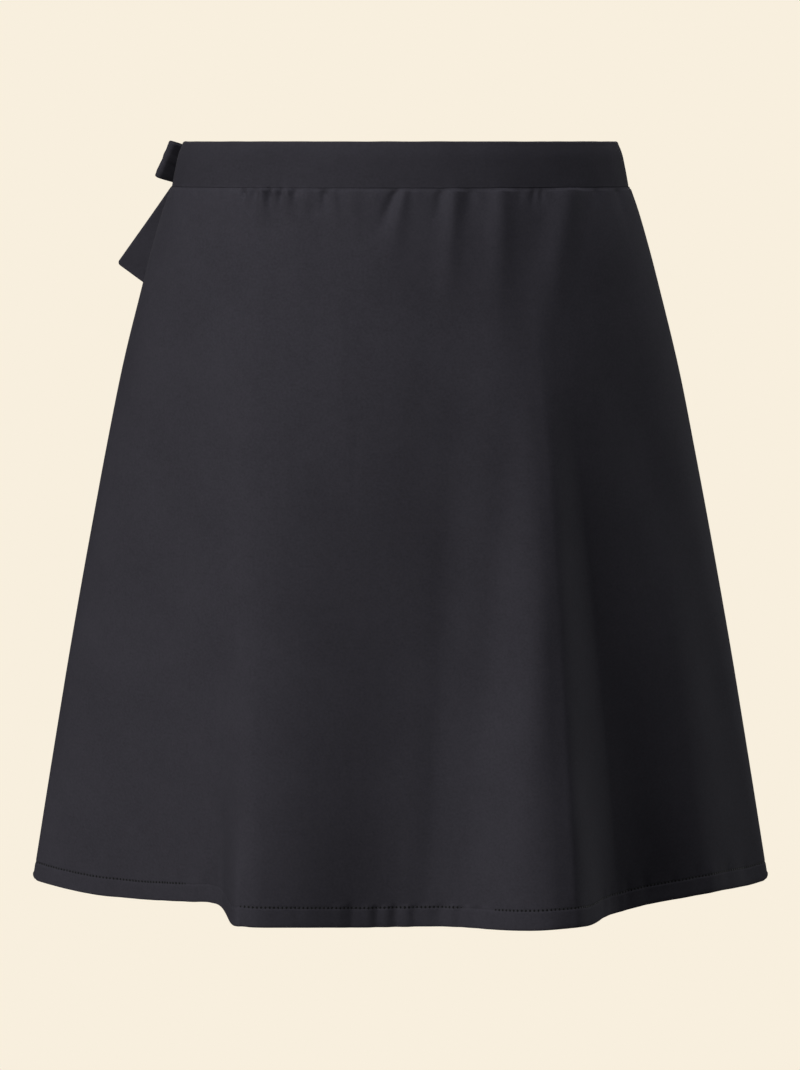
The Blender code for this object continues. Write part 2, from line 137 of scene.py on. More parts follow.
ShortsRow = namedtuple("ShortsRow", "drop centre half_width depth_back depth_front")
SHORTS_ROWS = rows_of(
    ShortsRow,
    (0.000, 0.0000, 0.1256, 0.0854, 0.0854),
    (0.040, 0.0000, 0.1335, 0.0920, 0.0880),
    (0.090, 0.0010, 0.1405, 0.0995, 0.0890),
    (0.150, 0.0120, 0.1360, 0.1020, 0.0875),
    (0.200, 0.0400, 0.1110, 0.0960, 0.0830),
    (0.245, 0.0776, 0.0774, 0.0830, 0.0760),
    (0.285, 0.0790, 0.0735, 0.0730, 0.0700),
    (0.325, 0.0800, 0.0700, 0.0690, 0.0670),
)

# ---- the cloth's finer shape

# A gather runs down from the band seam, in millimetres: at and drift lie along X, reach is its length, height
# is how far it stands out (a trough is negative), and width is its half breadth at the seam. spread is the
# share of that breadth which it gains by its lower end.
Gather = namedtuple("Gather", "at reach drift height width spread")
BACK_GATHERS = rows_of(
    Gather,
    (-84.1, 8, 0, -2.05, 1.3, 0.4), (-81, 12, -0.3, 1.53, 1.6, 0.5), (-77.2, 7, 0, -1.53, 1.7, 0.3),
    (-73.6, 26, 0.6, 3, 2.6, 0.6), (-70.1, 12, 0, -2.55, 1.5, 0.3), (-66.8, 13, 0.5, 2.56, 2, 0.5),
    (-63.8, 9, 0, -1.7, 1.3, 0.3), (-60.2, 18, 0.4, 2.39, 2.3, 0.6), (-56.6, 8, 0, -1.29, 1.5, 0.4),
    (-50, 16, -0.5, 1.29, 3.2, 0.6), (-40.4, 17, -0.4, -1.8, 2, 0.5), (-35.8, 26, 2.4, 1.04, 2.2, 0.8),
    (-25.6, 36, 0.8, 1.16, 4.6, 0.5), (-13.4, 14, 0.4, 0.52, 3, 0.4), (-1.8, 30, -12.5, -1.87, 2.7, 0.8),
    (1.8, 52, -9.5, 1.59, 3.3, 1.2), (9.5, 14, 0.5, 0.38, 3, 0.5), (22, 22, -3.6, -1.1, 2.5, 0.5),
    (28.6, 80, -6, 1.87, 4.3, 0.7), (37, 24, 1, -0.88, 3, 0.8), (53.6, 88, -3, 2.2, 5.6, 0.7),
    (64, 11, 0, -0.45, 1.8, 0.3), (71.6, 14, -1, -1.04, 1.7, 0.5), (76, 12, -0.8, -0.83, 1.4, 0.3),
    (90.6, 96, -15, 3.3, 7.4, 0.5), (106, 12, 1, -0.6, 2.2, 0.3), (118.5, 34, 9, -1.04, 2.4, 0.6),
)
FRONT_GATHERS = rows_of(
    Gather,
    (-121, 26, -7, -0.8, 2.4, 0.6), (-96, 14, -1, 0.64, 2.6, 0.5), (-90.5, 9, 0, -0.72, 1.6, 0.3),
    (-84, 52, 8, 1.52, 5.4, 0.8), (-71, 11, 0.6, -0.72, 1.8, 0.3), (-62.5, 20, 1, 0.88, 3.1, 0.6),
    (-49, 66, 3, 1.6, 6.4, 0.7), (-39.5, 12, 0, -0.8, 1.8, 0.3), (-30, 18, -1.4, 0.8, 2.8, 0.6),
    (-14.5, 34, 4, 1.28, 3.8, 0.9), (-8, 10, 0, -0.8, 1.5, 0.3), (4, 9, 0.3, -0.56, 1.6, 0.3),
    (11.5, 22, 1.2, 0.8, 2.8, 0.6), (27, 58, -5, 1.52, 5.8, 0.8), (37, 12, 0, -0.8, 1.9, 0.3),
    (46.5, 15, -0.6, 0.67, 2.4, 0.5), (59, 28, -3, 0.96, 3.4, 0.7), (66, 9, 0, -0.67, 1.6, 0.3),
    (77.5, 70, 6, 1.68, 6.6, 0.8), (90, 12, 1, -0.67, 2, 0.4), (104, 22, 4, 0.72, 3.4, 0.6),
)
GATHER_AT_SEAM = 0.15  # share of its height that a gather has at the seam
GATHER_RISE = 1.6  # millimetres below the seam where it has all of its height

# A crease lies anywhere on a panel: millimetres along X (on the shorts, in from the nearer seam) and down
# from the panel's top, its half breadth and half length, how far it leans for each unit down, and its height.
Crease = namedtuple("Crease", "at drop half_width half_length lean height")
BACK_CREASES = rows_of(
    Crease,
    (-46, 11.5, 2.2, 3.5, 0, -0.4), (-24, 142, 1.8, 13, -0.1, -0.16),
    (-44, 70, 5, 46, 0.03, -0.28), (-31, 84, 4, 60, 0.02, 0.22),
    (-65.5, 46, 5.5, 30, 0.02, -0.5), (-54, 52, 5.5, 34, 0, 0.35),
    (-80, 86, 8, 50, -0.1, 0.3), (14, 96, 9, 60, -0.06, -0.35),
    (68, 150, 10, 70, 0.1, 0.55), (104, 70, 7, 50, 0.26, -0.45),
    (-104, 96, 10, 70, -0.22, 0.4), (-150, 330, 9, 60, -0.2, -0.4),
    (-10, 300, 14, 70, -0.1, -0.45), (46, 262, 10, 150, -0.1, -2.1),
    (71, 262, 11, 150, -0.1, 1.8), (-76, 372, 7, 40, 0, 0.7),
)
FRONT_CREASES = rows_of(
    Crease,
    (-62, 96, 7, 56, -0.1, -0.4), (-20, 130, 9, 66, -0.04, 0.35),
    (34, 118, 8, 70, 0.06, -0.35), (70, 84, 6, 46, 0.12, 0.3),
    (108, 150, 9, 70, 0.24, 0.45), (-112, 170, 9, 80, -0.22, 0.45),
    (-4, 280, 13, 60, 0.03, -0.45), (40, 320, 10, 50, 0.08, 0.4),
    (-150, 300, 10, 60, -0.24, -0.45), (150, 320, 11, 60, 0.24, -0.4),
)
SHORTS_CREASES = rows_of(
    Crease,
    (16, 215, 5, 16, 0.9, 0.45), (26, 228, 5, 14, 1.1, -0.45),
    (38, 205, 7, 22, 0.8, 0.4), (60, 120, 9, 50, 0.2, -0.3),
    (22, 268, 5, 10, 0.7, 0.4), (84, 262, 8, 30, 0.3, -0.35),
)

# Puckers of the stitched hem, in millimetres along X; rise is how far each reaches above the stitches.
Pucker = namedtuple("Pucker", "at width height rise")
BACK_PUCKERS = rows_of(
    Pucker,
    (-183, 3, -0.35, 4), (-170, 2.6, 0.32, 3), (-156, 2.6, -0.48, 5), (-144, 2.2, 0.32, 3),
    (-130.5, 2.4, -0.56, 6), (-119.5, 2.4, -0.61, 5), (-112, 2, 0.4, 3), (-104.6, 2.2, -0.58, 5),
    (-70, 3, 0.18, 4), (-55, 2.6, -0.19, 4), (-33, 2.4, 0.34, 2), (-26, 2.2, -0.58, 2.6),
    (-17.5, 2.6, 0.58, 1.4), (-12.6, 1.8, -0.51, 1.6), (-7.4, 2, 0.54, 1.2), (-2.6, 2, -0.68, 2.4),
    (3.2, 2.2, 0.58, 1.2), (7.6, 1.8, -0.44, 1.4), (14.4, 2.6, 0.51, 1.4), (21.4, 2.6, -0.68, 2.2),
    (27.6, 1.8, 0.54, 1), (31.4, 1.6, -0.44, 1.2), (35.6, 1.8, 0.51, 1), (40.2, 1.8, -0.37, 1.2),
    (45.4, 2, 0.44, 1.2), (62, 3, 0.19, 5), (92, 2.6, -0.38, 4), (109.5, 1.6, -0.58, 5),
    (114, 1.6, -0.54, 5), (123.7, 2, -0.61, 6), (134, 2.4, -0.58, 5), (150, 2.4, -0.45, 4),
    (163, 3, -0.58, 7), (172, 2.4, 0.45, 6), (181, 3, -0.58, 6), (192, 2.4, -0.38, 4),
)
PUCKER_PITCH = 11.5  # mean distance between the front hem's puckers
PUCKER_LAST = 188.0
PUCKER_SEED = 11
PUCKER_LOSS = 0.45  # share of its height that a pucker loses between the stitches and the edge
PUCKER_HEIGHTS = (0.30, 0.70)  # least and most
PUCKER_WIDTHS = (1.7, 3.0)
PUCKER_RISES = (3.0, 7.0)
PUCKER_GAPS = (0.45, 1.65)  # as shares of the pitch
PUCKER_DIPS = 0.7  # share of the puckers that dip in
PUCKER_RIDGE = 0.8  # height of the others, as a share of a dip's


def front_puckers():
    """Puckers for the hidden hem, of uneven size and at uneven distances."""
    rng = np.random.default_rng(PUCKER_SEED)
    puckers = []
    at = -PUCKER_LAST
    while at < PUCKER_LAST:
        height = rng.uniform(*PUCKER_HEIGHTS) * (-1.0 if rng.uniform() < PUCKER_DIPS else PUCKER_RIDGE)
        puckers.append(Pucker(at, rng.uniform(*PUCKER_WIDTHS), height, rng.uniform(*PUCKER_RISES)))
        at += PUCKER_PITCH * rng.uniform(*PUCKER_GAPS)
    return puckers


# sunk holds the stretches of the hem, along X in millimetres, where the stitches sink into the groove, and
# ease_at is where the sharpest fold lies, as a share of the half width.
Side = namedtuple("Side", "name folds hem_rows direction columns gathers creases puckers sunk seed ease_at")
BACK = Side("back", BACK_FOLDS, BACK_HEM_ROWS, -1, 400, BACK_GATHERS, BACK_CREASES,
            BACK_PUCKERS, [(-119.0, -83.0), (30.0, 52.0)], 21, -0.45)
FRONT = Side("front", FRONT_FOLDS, FRONT_HEM_ROWS, 1, 360, FRONT_GATHERS, FRONT_CREASES,
             front_puckers(), [(-66.0, -48.0), (84.0, 104.0)], 22, None)

STITCH_RISE = 0.0106  # the stitch line lies this far above the hem's edge
STITCH_PITCH = 0.00225
GROOVE_DEPTH = 0.00014
GROOVE_WIDTH = 0.00062
LIP_HEIGHT = 0.00016  # the turned hem stands proud of the cloth above it
LIP_START = 0.0016
LIP_END = 0.0030
HEM_STEP = 0.0008  # height over which the wall thickens to the turned hem's
ROLL_REACH = 0.0015  # height over which the gathered cloth rolls out from under the band
ROLL_DEPTH = 0.0006
ROLL_POWER = 1.5
TUCK = 0.0006  # the panel's upper edge reaches this far up under the band
INNER_SHARE = 0.9  # share of the finer shape that the cloth's inner face follows
SIDE_SEAM = 0.000001  # half of the gap left between the panels where they are sewn together
SEAM_EASE = 0.012  # the finer shape fades out over this distance from a side seam
SEAM_DIP = 0.00022
SEAM_DIP_REACH = 0.0016
CORNER_RISE = 0.0032  # the hem's edge turns up where it meets the side seam
CORNER_REACH = 0.0055
WAVE_HEIGHT = 0.00016
WAVE_COUNT = 9
WAVE_ACROSS = (0.030, 0.080)  # shortest and longest
WAVE_DOWN = (0.060, 0.180)
WAVE_LEAN = 0.4
WAVE_START = 0.04  # the waves grow over this much of the drop
EASE_DOWN = 0.012  # how far along its length the cloth's form is eased
EASE_PARTS = (-1.0, -0.67, -0.33, 0.33, 0.67, 1.0)
EASE_ACROSS = 0.0055
EASE_BREADTH = 0.13  # share of the half width over which the sharpest fold is eased
EASE_END = 0.372  # drop at which that ends, so that the hem keeps its step
EASE_FADE = 0.045
EASE_STEPS = 900
WORN_EDGE = 0.0022  # distances over which the wear of an edge and a seam fades
WORN_SEAM = 0.0020
WORN_UNDER_BAND = 0.0025  # drop of the worn line under the band
UNDER_BAND_WEAR = 0.35  # wear of that line and of a side seam, as shares of the hem's
SIDE_SEAM_WEAR = 0.5
LEG_SEAM_WEAR = 0.4
BAND_EDGE_WEAR = 0.6

# ---- how finely the shells are cut

CURVE_STEPS = 1440
BAND_COLUMNS = 560
SHORTS_COLUMNS = 150
CAP_STEPS = 5
SHORTS_CAP_STEPS = 4
BAND_CAP_STEPS = 9
CREASE_ANGLE = math.radians(55)
UPPER_DROPS = [(0.0, 0.0040, 0.0005), (0.0040, 0.0300, 0.0013), (0.0300, 0.0700, 0.0026)]  # start, end, step
MIDDLE_ROWS = 52
MIDDLE_END = 0.0140  # the even rows end this far above the stitches
# Rows near the stitches, in millimetres below them.
STITCH_ROWS = [
    -11.0, -8.5, -6.5, -5.0, -3.8, -2.8, -2.0, -1.4, -1.0, -0.7, -0.42, -0.18, 0.0,
    0.18, 0.42, 0.7, 1.0, 1.4, 2.0, 2.9, 4.0, 5.2, 6.4, 7.5,
]
SHORTS_UPPER_ROWS = 78
SHORTS_UPPER_END = 0.012
SHORTS_STITCH_ROWS = [
    -8.0, -5.5, -3.8, -2.6, -1.6, -1.0, -0.6, -0.3, 0.0, 0.3, 0.6, 1.0, 1.6, 2.6, 4.0, 6.0, 8.5, 11.0, 13.0,
]

# ---- curves, distances and directions


def smooth_step(value):
    """0 to 1 with level ends."""
    value = np.clip(value, 0.0, 1.0)
    return value * value * (3.0 - 2.0 * value)


def bell(value):
    return np.exp(-value * value)


def unit(vectors):
    """The same directions, with a length of 1."""
    return vectors / np.linalg.norm(vectors, axis=-1, keepdims=True)


def distances(points):
    """How far along their row each of the points lies."""
    return np.concatenate([[0.0], np.cumsum(np.linalg.norm(np.diff(points, axis=0), axis=1))])


def read_at(wanted, length, points):
    """Points or directions at the wanted distances along a row."""
    return np.column_stack([np.interp(wanted, length, points[:, axis]) for axis in range(3)])


def smooth_curve(known, values, wanted):
    """Values at the wanted places, on a smooth curve through those at the known places."""
    slopes = np.gradient(values, known, axis=0)
    index = np.clip(np.searchsorted(known, wanted) - 1, 0, len(known) - 2)
    span = known[index + 1] - known[index]
    part = (wanted - known[index]) / span
    if values.ndim > 1:
        span, part = span[:, None], part[:, None]
    start = values[index] * (1 + 2 * part) * (1 - part) ** 2
    start += slopes[index] * span * part * (1 - part) ** 2
    end = values[index + 1] * (3 - 2 * part) * part**2
    end -= slopes[index + 1] * span * (1 - part) * part**2
    return start + end


def smooth_column(table, column, places):
    """Read one column of a table at the given places of its first column, on a smooth curve."""
    known = np.array([row[0] for row in table])
    values = np.array([getattr(row, column) for row in table])
    return smooth_curve(known, values, np.asarray(places, dtype=float))


def smooth_path(points, count):
    """A smooth curve through 2-D points, at even distances."""
    points = np.asarray(points, dtype=float)
    length = distances(points)
    return smooth_curve(length, points, np.linspace(0.0, length[-1], count))


def evenly_spaced(points, count):
    """Resample a row of points so that its cloth is shared equally between count columns."""
    length = distances(points)
    return read_at(np.linspace(0.0, length[-1], count + 1), length, points)


def grid_normals(grid):
    """Unit normals of a grid whose rows run down and whose columns run anticlockwise seen from above."""
    return unit(np.cross(np.gradient(grid, axis=0), np.gradient(grid, axis=1)))


def row_widths(grid):
    return np.linalg.norm(np.diff(grid, axis=1), axis=2).sum(axis=1)


def cloth_places(grid, drops):
    """Where each point lies on the cloth: across from its middle, up, and in from its nearer side edge."""
    widths = row_widths(grid)[:, None]
    share = np.linspace(-0.5, 0.5, grid.shape[1])
    across = share * widths
    return across, -drops[:, None] + 0.0 * across, (0.5 - np.abs(share)) * widths


# ---- meshes


def add_object(name, data):
    """Put one new object into the scene."""
    thing = bpy.data.objects.new(name, data)
    bpy.context.scene.collection.objects.link(thing)
    return thing


def new_piece(name, points, faces, uvs, wear, material):
    """Make one object from points, faces, a UV map in metres and how worn each point is."""
    mesh = bpy.data.meshes.new(name)
    mesh.from_pydata(np.asarray(points, dtype=float).tolist(), [], faces)
    corners = np.zeros(len(mesh.loops), dtype=np.int32)
    mesh.loops.foreach_get("vertex_index", corners)
    layer = mesh.uv_layers.new(name="ClothUV")
    layer.uv.foreach_set("vector", np.asarray(uvs, dtype=np.float32)[corners].ravel())
    attribute = mesh.attributes.new("wear", "FLOAT", "POINT")
    attribute.data.foreach_set("value", np.asarray(wear, dtype=np.float32))
    mesh.shade_smooth()
    mesh.set_sharp_from_angle(angle=CREASE_ANGLE)
    mesh.materials.append(material)
    return add_object(name, mesh)


def quads_between(index, close_columns, close_rows):
    """Quads of a grid of point numbers, with its last column or row joined to its first or left open."""
    below = np.roll(index, -1, axis=0)
    quads = np.stack([index, below, np.roll(below, -1, axis=1), np.roll(index, -1, axis=1)], axis=2)
    quads = quads[:None if close_rows else -1, :None if close_columns else -1]
    return [tuple(quad) for quad in quads.reshape(-1, 4).tolist()]


def make_shell(name, outer, inner, low_cap, uv, wear, material, top_cap=None):
    """A closed cloth shell: outer rows, a rounded lower edge, inner rows, and for a ring a top edge."""
    ring = top_cap is not None
    if not ring:
        top_cap = outer[:0]
    rows, columns, _ = outer.shape
    caps = [len(low_cap), len(top_cap)]
    points = np.concatenate([outer, low_cap, inner[::-1], top_cap])
    edge_uvs = [np.repeat(uv[-1:], caps[0], axis=0), np.repeat(uv[:1], caps[1], axis=0)]
    uvs = np.concatenate([uv, edge_uvs[0], uv[::-1], edge_uvs[1]])
    worn = np.concatenate([wear, np.ones((caps[0], columns)), wear[::-1], np.ones((caps[1], columns))])
    index = np.arange(len(points) * columns).reshape(len(points), columns)
    faces = quads_between(index, ring, True)
    if not ring:
        last = 2 * rows + caps[0] - 1
        for column, flip in ((0, False), (columns - 1, True)):
            side = index[:, column].tolist()
            for row in range(rows - 1):
                face = (side[row], side[last - row], side[last - row - 1], side[row + 1])
                faces.append(face[::-1] if flip else face)
            edge = tuple(side[rows - 1:rows + caps[0] + 1])
            faces.append(edge if flip else edge[::-1])
    return new_piece(name, points.reshape(-1, 3), faces, uvs.reshape(-1, 2), worn.reshape(-1), material)


def rounded_edge(outer_row, inner_row, ahead, steps):
    """Rows of points that round a shell's edge from its outer to its inner face, bulging along ahead."""
    middle = (outer_row + inner_row) / 2
    half = (outer_row - inner_row) / 2
    bulge = ahead * np.linalg.norm(half, axis=-1, keepdims=True)
    turns = [math.pi * step / (steps + 1) for step in range(1, steps + 1)]
    return np.array([middle + half * math.cos(turn) + bulge * math.sin(turn) for turn in turns])


def hemmed_shell(name, outer, inner, uv, worn, cap_steps, material):
    """A panel's shell with level upper edges and a rounded hem."""
    inner[0, :, 2] = outer[0, :, 2]
    cap = rounded_edge(outer[-1], inner[-1], unit(outer[-1] - outer[-2]), cap_steps)
    return make_shell(name, outer, inner, cap, uv, np.clip(worn, 0.0, 1.0), material)


# ---- skirt


def fold_height(fold, across, share):
    """How far one fold stands out, at shares of the half width and one share of the length."""
    part = max(0.0, (share - fold.start) / (1.0 - fold.start))
    grown = (part * part * (1.0 + FOLD_EASE) / (part + FOLD_EASE)) ** fold.power
    width = fold.narrow + (1.0 - fold.narrow) * share
    centre = fold.centre + fold.lean * (1.0 - share)
    left_edge = centre - fold.flat * width / 2
    right_edge = centre + fold.flat * width / 2
    rise = smooth_step((across - left_edge) / (fold.left * width) + 1.0)
    fall = smooth_step((right_edge - across) / (fold.right * width) + 1.0)
    return fold.height * grown * rise * fall


def skirt_row(side, drop):
    """Outer face of a panel at one drop, from the wearer's left to right, in many points."""
    share = drop / SKIRT_LENGTH
    turn = np.linspace(-math.pi / 2, math.pi / 2, CURVE_STEPS + 1)
    across = np.sin(turn)
    half_width = smooth_column(SKIRT_ROWS, "half_width", drop)
    power = smooth_column(SKIRT_ROWS, "side_" + side.name, drop)
    depth = smooth_column(SKIRT_ROWS, "depth_" + side.name, drop) * np.clip(np.cos(turn), 0.0, 1.0) ** power
    for fold in side.folds:
        depth = depth + fold_height(fold, across, share)
    dip = smooth_column(side.hem_rows, "dip", across) * share**HEM_DIP_POWER
    y = side.direction * (depth + SIDE_SEAM)
    return np.column_stack([half_width * across, y, SKIRT_TOP - drop - dip])


def blurred(values, places, reach):
    """Values over uneven places, each shared out over its neighbours within about reach."""
    even = np.linspace(places[0], places[-1], EASE_STEPS)
    spacing = even[1] - even[0]
    half = int(3 * reach / spacing)
    weights = bell(np.arange(-half, half + 1) * spacing / (reach * math.sqrt(2.0)))
    padded = np.pad(np.interp(even, places, values), half, mode="edge")
    return np.interp(places, even, np.convolve(padded, weights / weights.sum(), mode="valid"))


def cloth_row(side, drop):
    """The panel's row at one drop, eased along its length and beside its sharpest fold, as cloth bends."""
    row = skirt_row(side, drop)
    reach = min(EASE_DOWN, drop, SKIRT_LENGTH - drop)
    nearby = [skirt_row(side, drop + reach * part)[:, 1] for part in EASE_PARTS]
    row[:, 1] = (row[:, 1] + sum(nearby)) / (1 + len(nearby))
    if side.ease_at is not None:
        across = row[:, 0] / row[-1, 0]
        share = bell((across - side.ease_at) / EASE_BREADTH) * smooth_step((EASE_END - drop) / EASE_FADE)
        row[:, 1] += share * (blurred(row[:, 1], row[:, 0], EASE_ACROSS) - row[:, 1])
    return row


def skirt_drops():
    """Drops of the shell's rows: close together under the band and at the hem's stitches."""
    stitch = SKIRT_LENGTH - STITCH_RISE
    upper = [np.arange(*part) for part in UPPER_DROPS]
    middle = np.linspace(UPPER_DROPS[-1][1], stitch - MIDDLE_END, MIDDLE_ROWS)
    low = stitch + np.array(STITCH_ROWS) * MM
    return np.concatenate([*upper, middle, low, [SKIRT_LENGTH - HEM_WALL / 2]])


def gather_shape(gathers, x, down):
    """How far the gathers stand out, over a grid of places across and down in millimetres."""
    total = np.zeros_like(x)
    for gather in gathers:
        part = down / gather.reach
        fade = 0.5 + 0.5 * np.cos(math.pi * np.clip(part, 0.0, 1.0))
        centre = gather.at + gather.drift * part
        width = gather.width * (1.0 + gather.spread * part)
        total += gather.height * bell((x - centre) / width) * fade
    return total * (GATHER_AT_SEAM + (1.0 - GATHER_AT_SEAM) * smooth_step(down / GATHER_RISE))


def crease_shape(creases, x, down):
    total = np.zeros_like(x)
    for crease in creases:
        below = down - crease.drop
        across = x - crease.at - crease.lean * below
        total += crease.height * bell(across / crease.half_width) * bell(below / crease.half_length)
    return total


def pucker_shape(puckers, x, down):
    """Puckers across the turned hem, which fade out above its stitches."""
    total = np.zeros_like(x)
    above = (SKIRT_LENGTH - STITCH_RISE) / MM - down
    below = 1.0 - PUCKER_LOSS * smooth_step(-above / (STITCH_RISE / MM))
    for pucker in puckers:
        fade = np.where(above > 0.0, bell(above / pucker.rise), below)
        total += pucker.height * bell((x - pucker.at) / pucker.width) * fade
    return total


def hem_groove(drops, stitch_drop, edge_drop):
    """The stitch line's groove and the turned hem's slight swell below it."""
    offset = drops - stitch_drop
    swell = smooth_step(offset / LIP_START) * smooth_step((edge_drop - drops) / LIP_END)
    return LIP_HEIGHT * swell - GROOVE_DEPTH * bell(offset / GROOVE_WIDTH)


def wave_shape(u, v, seed, height):
    """A few long, shallow waves, so that no stretch of cloth is quite even."""
    rng = np.random.default_rng(seed)
    total = np.zeros(np.broadcast(u, v).shape)
    for _ in range(WAVE_COUNT):
        length_u = rng.uniform(*WAVE_ACROSS)
        length_v = rng.uniform(*WAVE_DOWN)
        phase = rng.uniform(0.0, 2 * math.pi)
        lean = rng.uniform(-WAVE_LEAN, WAVE_LEAN)
        total += np.sin(2 * math.pi * ((u + lean * v) / length_u + v / length_v) + phase)
    return total * height / math.sqrt(WAVE_COUNT / 2)


def skirt_panel(name, side, material):
    """One panel's shell, its outer face as a grid, and the grid's row of stitches."""
    drops = skirt_drops()
    stitch = SKIRT_LENGTH - STITCH_RISE
    rows = [evenly_spaced(cloth_row(side, drop), side.columns) for drop in drops]
    base = np.array(rows)[:, ::-side.direction]
    normals = grid_normals(base)
    place = (base[:, :, 0] / MM, drops[:, None] / MM)
    u, v, from_side = cloth_places(base, drops)
    large = gather_shape(side.gathers, *place) + crease_shape(side.creases, *place)
    large = (large + pucker_shape(side.puckers, *place)) * MM
    large += wave_shape(u, v, side.seed, WAVE_HEIGHT) * smooth_step(drops / WAVE_START)[:, None]
    large *= smooth_step(from_side / SEAM_EASE)
    fine = hem_groove(drops, stitch, SKIRT_LENGTH)[:, None] - SEAM_DIP * bell(from_side / SEAM_DIP_REACH)
    roll = -ROLL_DEPTH * (1.0 - smooth_step(drops / ROLL_REACH)[:, None]) ** ROLL_POWER
    turned = smooth_step((drops - (SKIRT_LENGTH - HEM_TURN)) / HEM_STEP)[:, None]
    walls = SKIRT_WALL + (HEM_WALL - SKIRT_WALL) * turned
    outer = base + normals * (large + fine + roll)[:, :, None]
    inner = base + normals * (large * INNER_SHARE + roll - walls)[:, :, None]
    lift = CORNER_RISE * (1.0 - np.clip(from_side / CORNER_REACH, 0.0, 1.0)) ** 2
    lift *= smooth_step((drops[:, None] - SKIRT_LENGTH + CORNER_REACH) / CORNER_REACH)
    for grid in (outer, inner):
        grid[:, (0, -1), 1] = base[:, (0, -1), 1]
        grid[:, :, 2] += lift
    outer[0, :, 2] += TUCK
    worn = bell((SKIRT_LENGTH - drops) / WORN_EDGE)
    worn += UNDER_BAND_WEAR * bell((drops - WORN_UNDER_BAND) / WORN_SEAM)
    worn = worn[:, None] + SIDE_SEAM_WEAR * bell(from_side / WORN_SEAM)
    piece = hemmed_shell(name, outer, inner, np.stack([u, v], axis=2), worn, CAP_STEPS, material)
    return piece, outer, int(np.argmin(np.abs(drops - stitch)))


# ---- stitches

THREAD_HALF = (0.00075, 0.00024, 0.00024)  # along the row, down and out
# The holes are near-black blobs: painted shade of the needle holes' pits.
HOLE_HALF = (0.00058, 0.00088, 0.00022)
THREAD_CUT = (8, 6)  # segments and rings
HOLE_CUT = (10, 6)
THREAD_SINK = (0.00008, 0.0003)  # everywhere, and more where the stitches sink
HOLE_SINK = (0.00001, 0.00035)
SUNK_EASE = 6.0  # millimetres over which the stitches sink
LOOK_AHEAD = 0.0004


def row_frames(grid, row, pitch):
    """Places along one row of a grid at an even pitch, with the directions along, down and out."""
    line = grid[row]
    length = distances(line)
    count = int(length[-1] / pitch)
    wanted = (np.arange(count) + 0.5) * length[-1] / count
    along = unit(read_at(wanted + LOOK_AHEAD, length, line) - read_at(wanted - LOOK_AHEAD, length, line))
    out = read_at(wanted, length, grid_normals(grid)[row])
    out = unit(out - along * (out * along).sum(axis=1, keepdims=True))
    return read_at(wanted, length, line), along, np.cross(along, out), out


def ball(segments, rings):
    """Points and faces of a small closed ball of radius 1."""
    solid = bmesh.new()
    bmesh.ops.create_uvsphere(solid, u_segments=segments, v_segments=rings, radius=1.0)
    solid.verts.index_update()
    points = np.array([vertex.co[:] for vertex in solid.verts])
    faces = [tuple(vertex.index for vertex in face.verts) for face in solid.faces]
    solid.free()
    return points, faces


def scatter(name, shape, halves, frames, sink, material):
    """One mesh of many small closed shapes, one at each place, sunk into the cloth."""
    points, faces = shape
    places, along, down, out = [part[:, None, :] for part in frames]
    local = points * halves
    moved = places - out * sink[:, None, None] + local[:, :1] * along
    moved = moved + local[:, 1:2] * down + local[:, 2:] * out
    starts = [index * len(points) for index in range(len(moved))]
    all_faces = [tuple(corner + start for corner in face) for start in starts for face in faces]
    uvs = np.tile(points[:, :2] * MM, (len(moved), 1))
    return new_piece(name, moved.reshape(-1, 3), all_faces, uvs, np.zeros(len(uvs)), material)


def hem_stitches(name, outer, row, sunk):
    """A row of stitches: between every two lengths of thread, a near-black blob as painted shade of the
    needle hole.
    """
    frames = row_frames(outer, row, STITCH_PITCH)
    between = [(part[:-1] + part[1:]) / 2 for part in frames]
    x = frames[0][:, 0] / MM
    buried = np.zeros(len(x))
    for low, high in sunk:
        buried = np.maximum(buried, smooth_step((x - low) / SUNK_EASE) * smooth_step((high - x) / SUNK_EASE))
    hole_sink = HOLE_SINK[0] + buried * HOLE_SINK[1]
    thread_sink = THREAD_SINK[0] + buried[:-1] * THREAD_SINK[1]
    # near-black blobs: painted shade in the needle holes between the threads
    hole_shades = scatter(name + "_holes", ball(*HOLE_CUT), HOLE_HALF, frames, hole_sink, NEEDLE_HOLE_SHADE)
    threads = scatter(name + "_thread", ball(*THREAD_CUT), THREAD_HALF, between, thread_sink, THREAD)
    return hole_shades, threads


# ---- materials

CHARCOAL = (0.0316, 0.0303, 0.0372)
WALE = 0.00078
COURSE = 0.00062
KNIT_RELIEF = 0.00006
THREAD_RELIEF = 0.00005
SHEEN_TINT = (0.80, 0.78, 0.92, 1.0)
COLUMNS_OFF = 4096.0  # keeps the knit's columns counting up across the cloth's middle
LEG_SLANT = 1.3
LEG_RELIEF = 0.7  # shares of the knit's relief
LOOP_RELIEF = 0.3
FUZZ_RELIEF = 1.4
SLUB_RELIEF = 2.2
FUZZ = (2600.0, 3.0, 0.7)  # scale, detail and roughness of each unevenness
SLUB = (210.0, 4.0, 0.6)
CLOUD = (26.0, 3.0, 0.55)
SPECKLE = (720.0, 2.0, 0.6)
GRAIN = (3000.0, 2.0, 0.6)
TONES = (0.9, 0.8, 0.7, 1.5)  # how far cloud, slub, fuzz and speckle change the tone
# painted shade of the knit's relief: darker between the stitches' legs, lighter on them
LEG_SHADE = 0.12
WORN_TONE = 0.7
MIDDLE_TONE = 0.45
CLOTH_SHADES = (0.86, 1.15)  # darkest and lightest, as shares of the colour
THREAD_SHADES = (0.7, 1.3)
SLUB_ROUGHNESS = 0.12
CLOTH_SPECULAR = 0.03
THREAD_SPECULAR = 0.2
THREAD_BUMP = 0.3
SHEEN_ROUGHNESS = 0.45


def shade(colour, factor):
    return tuple(part * factor for part in colour)


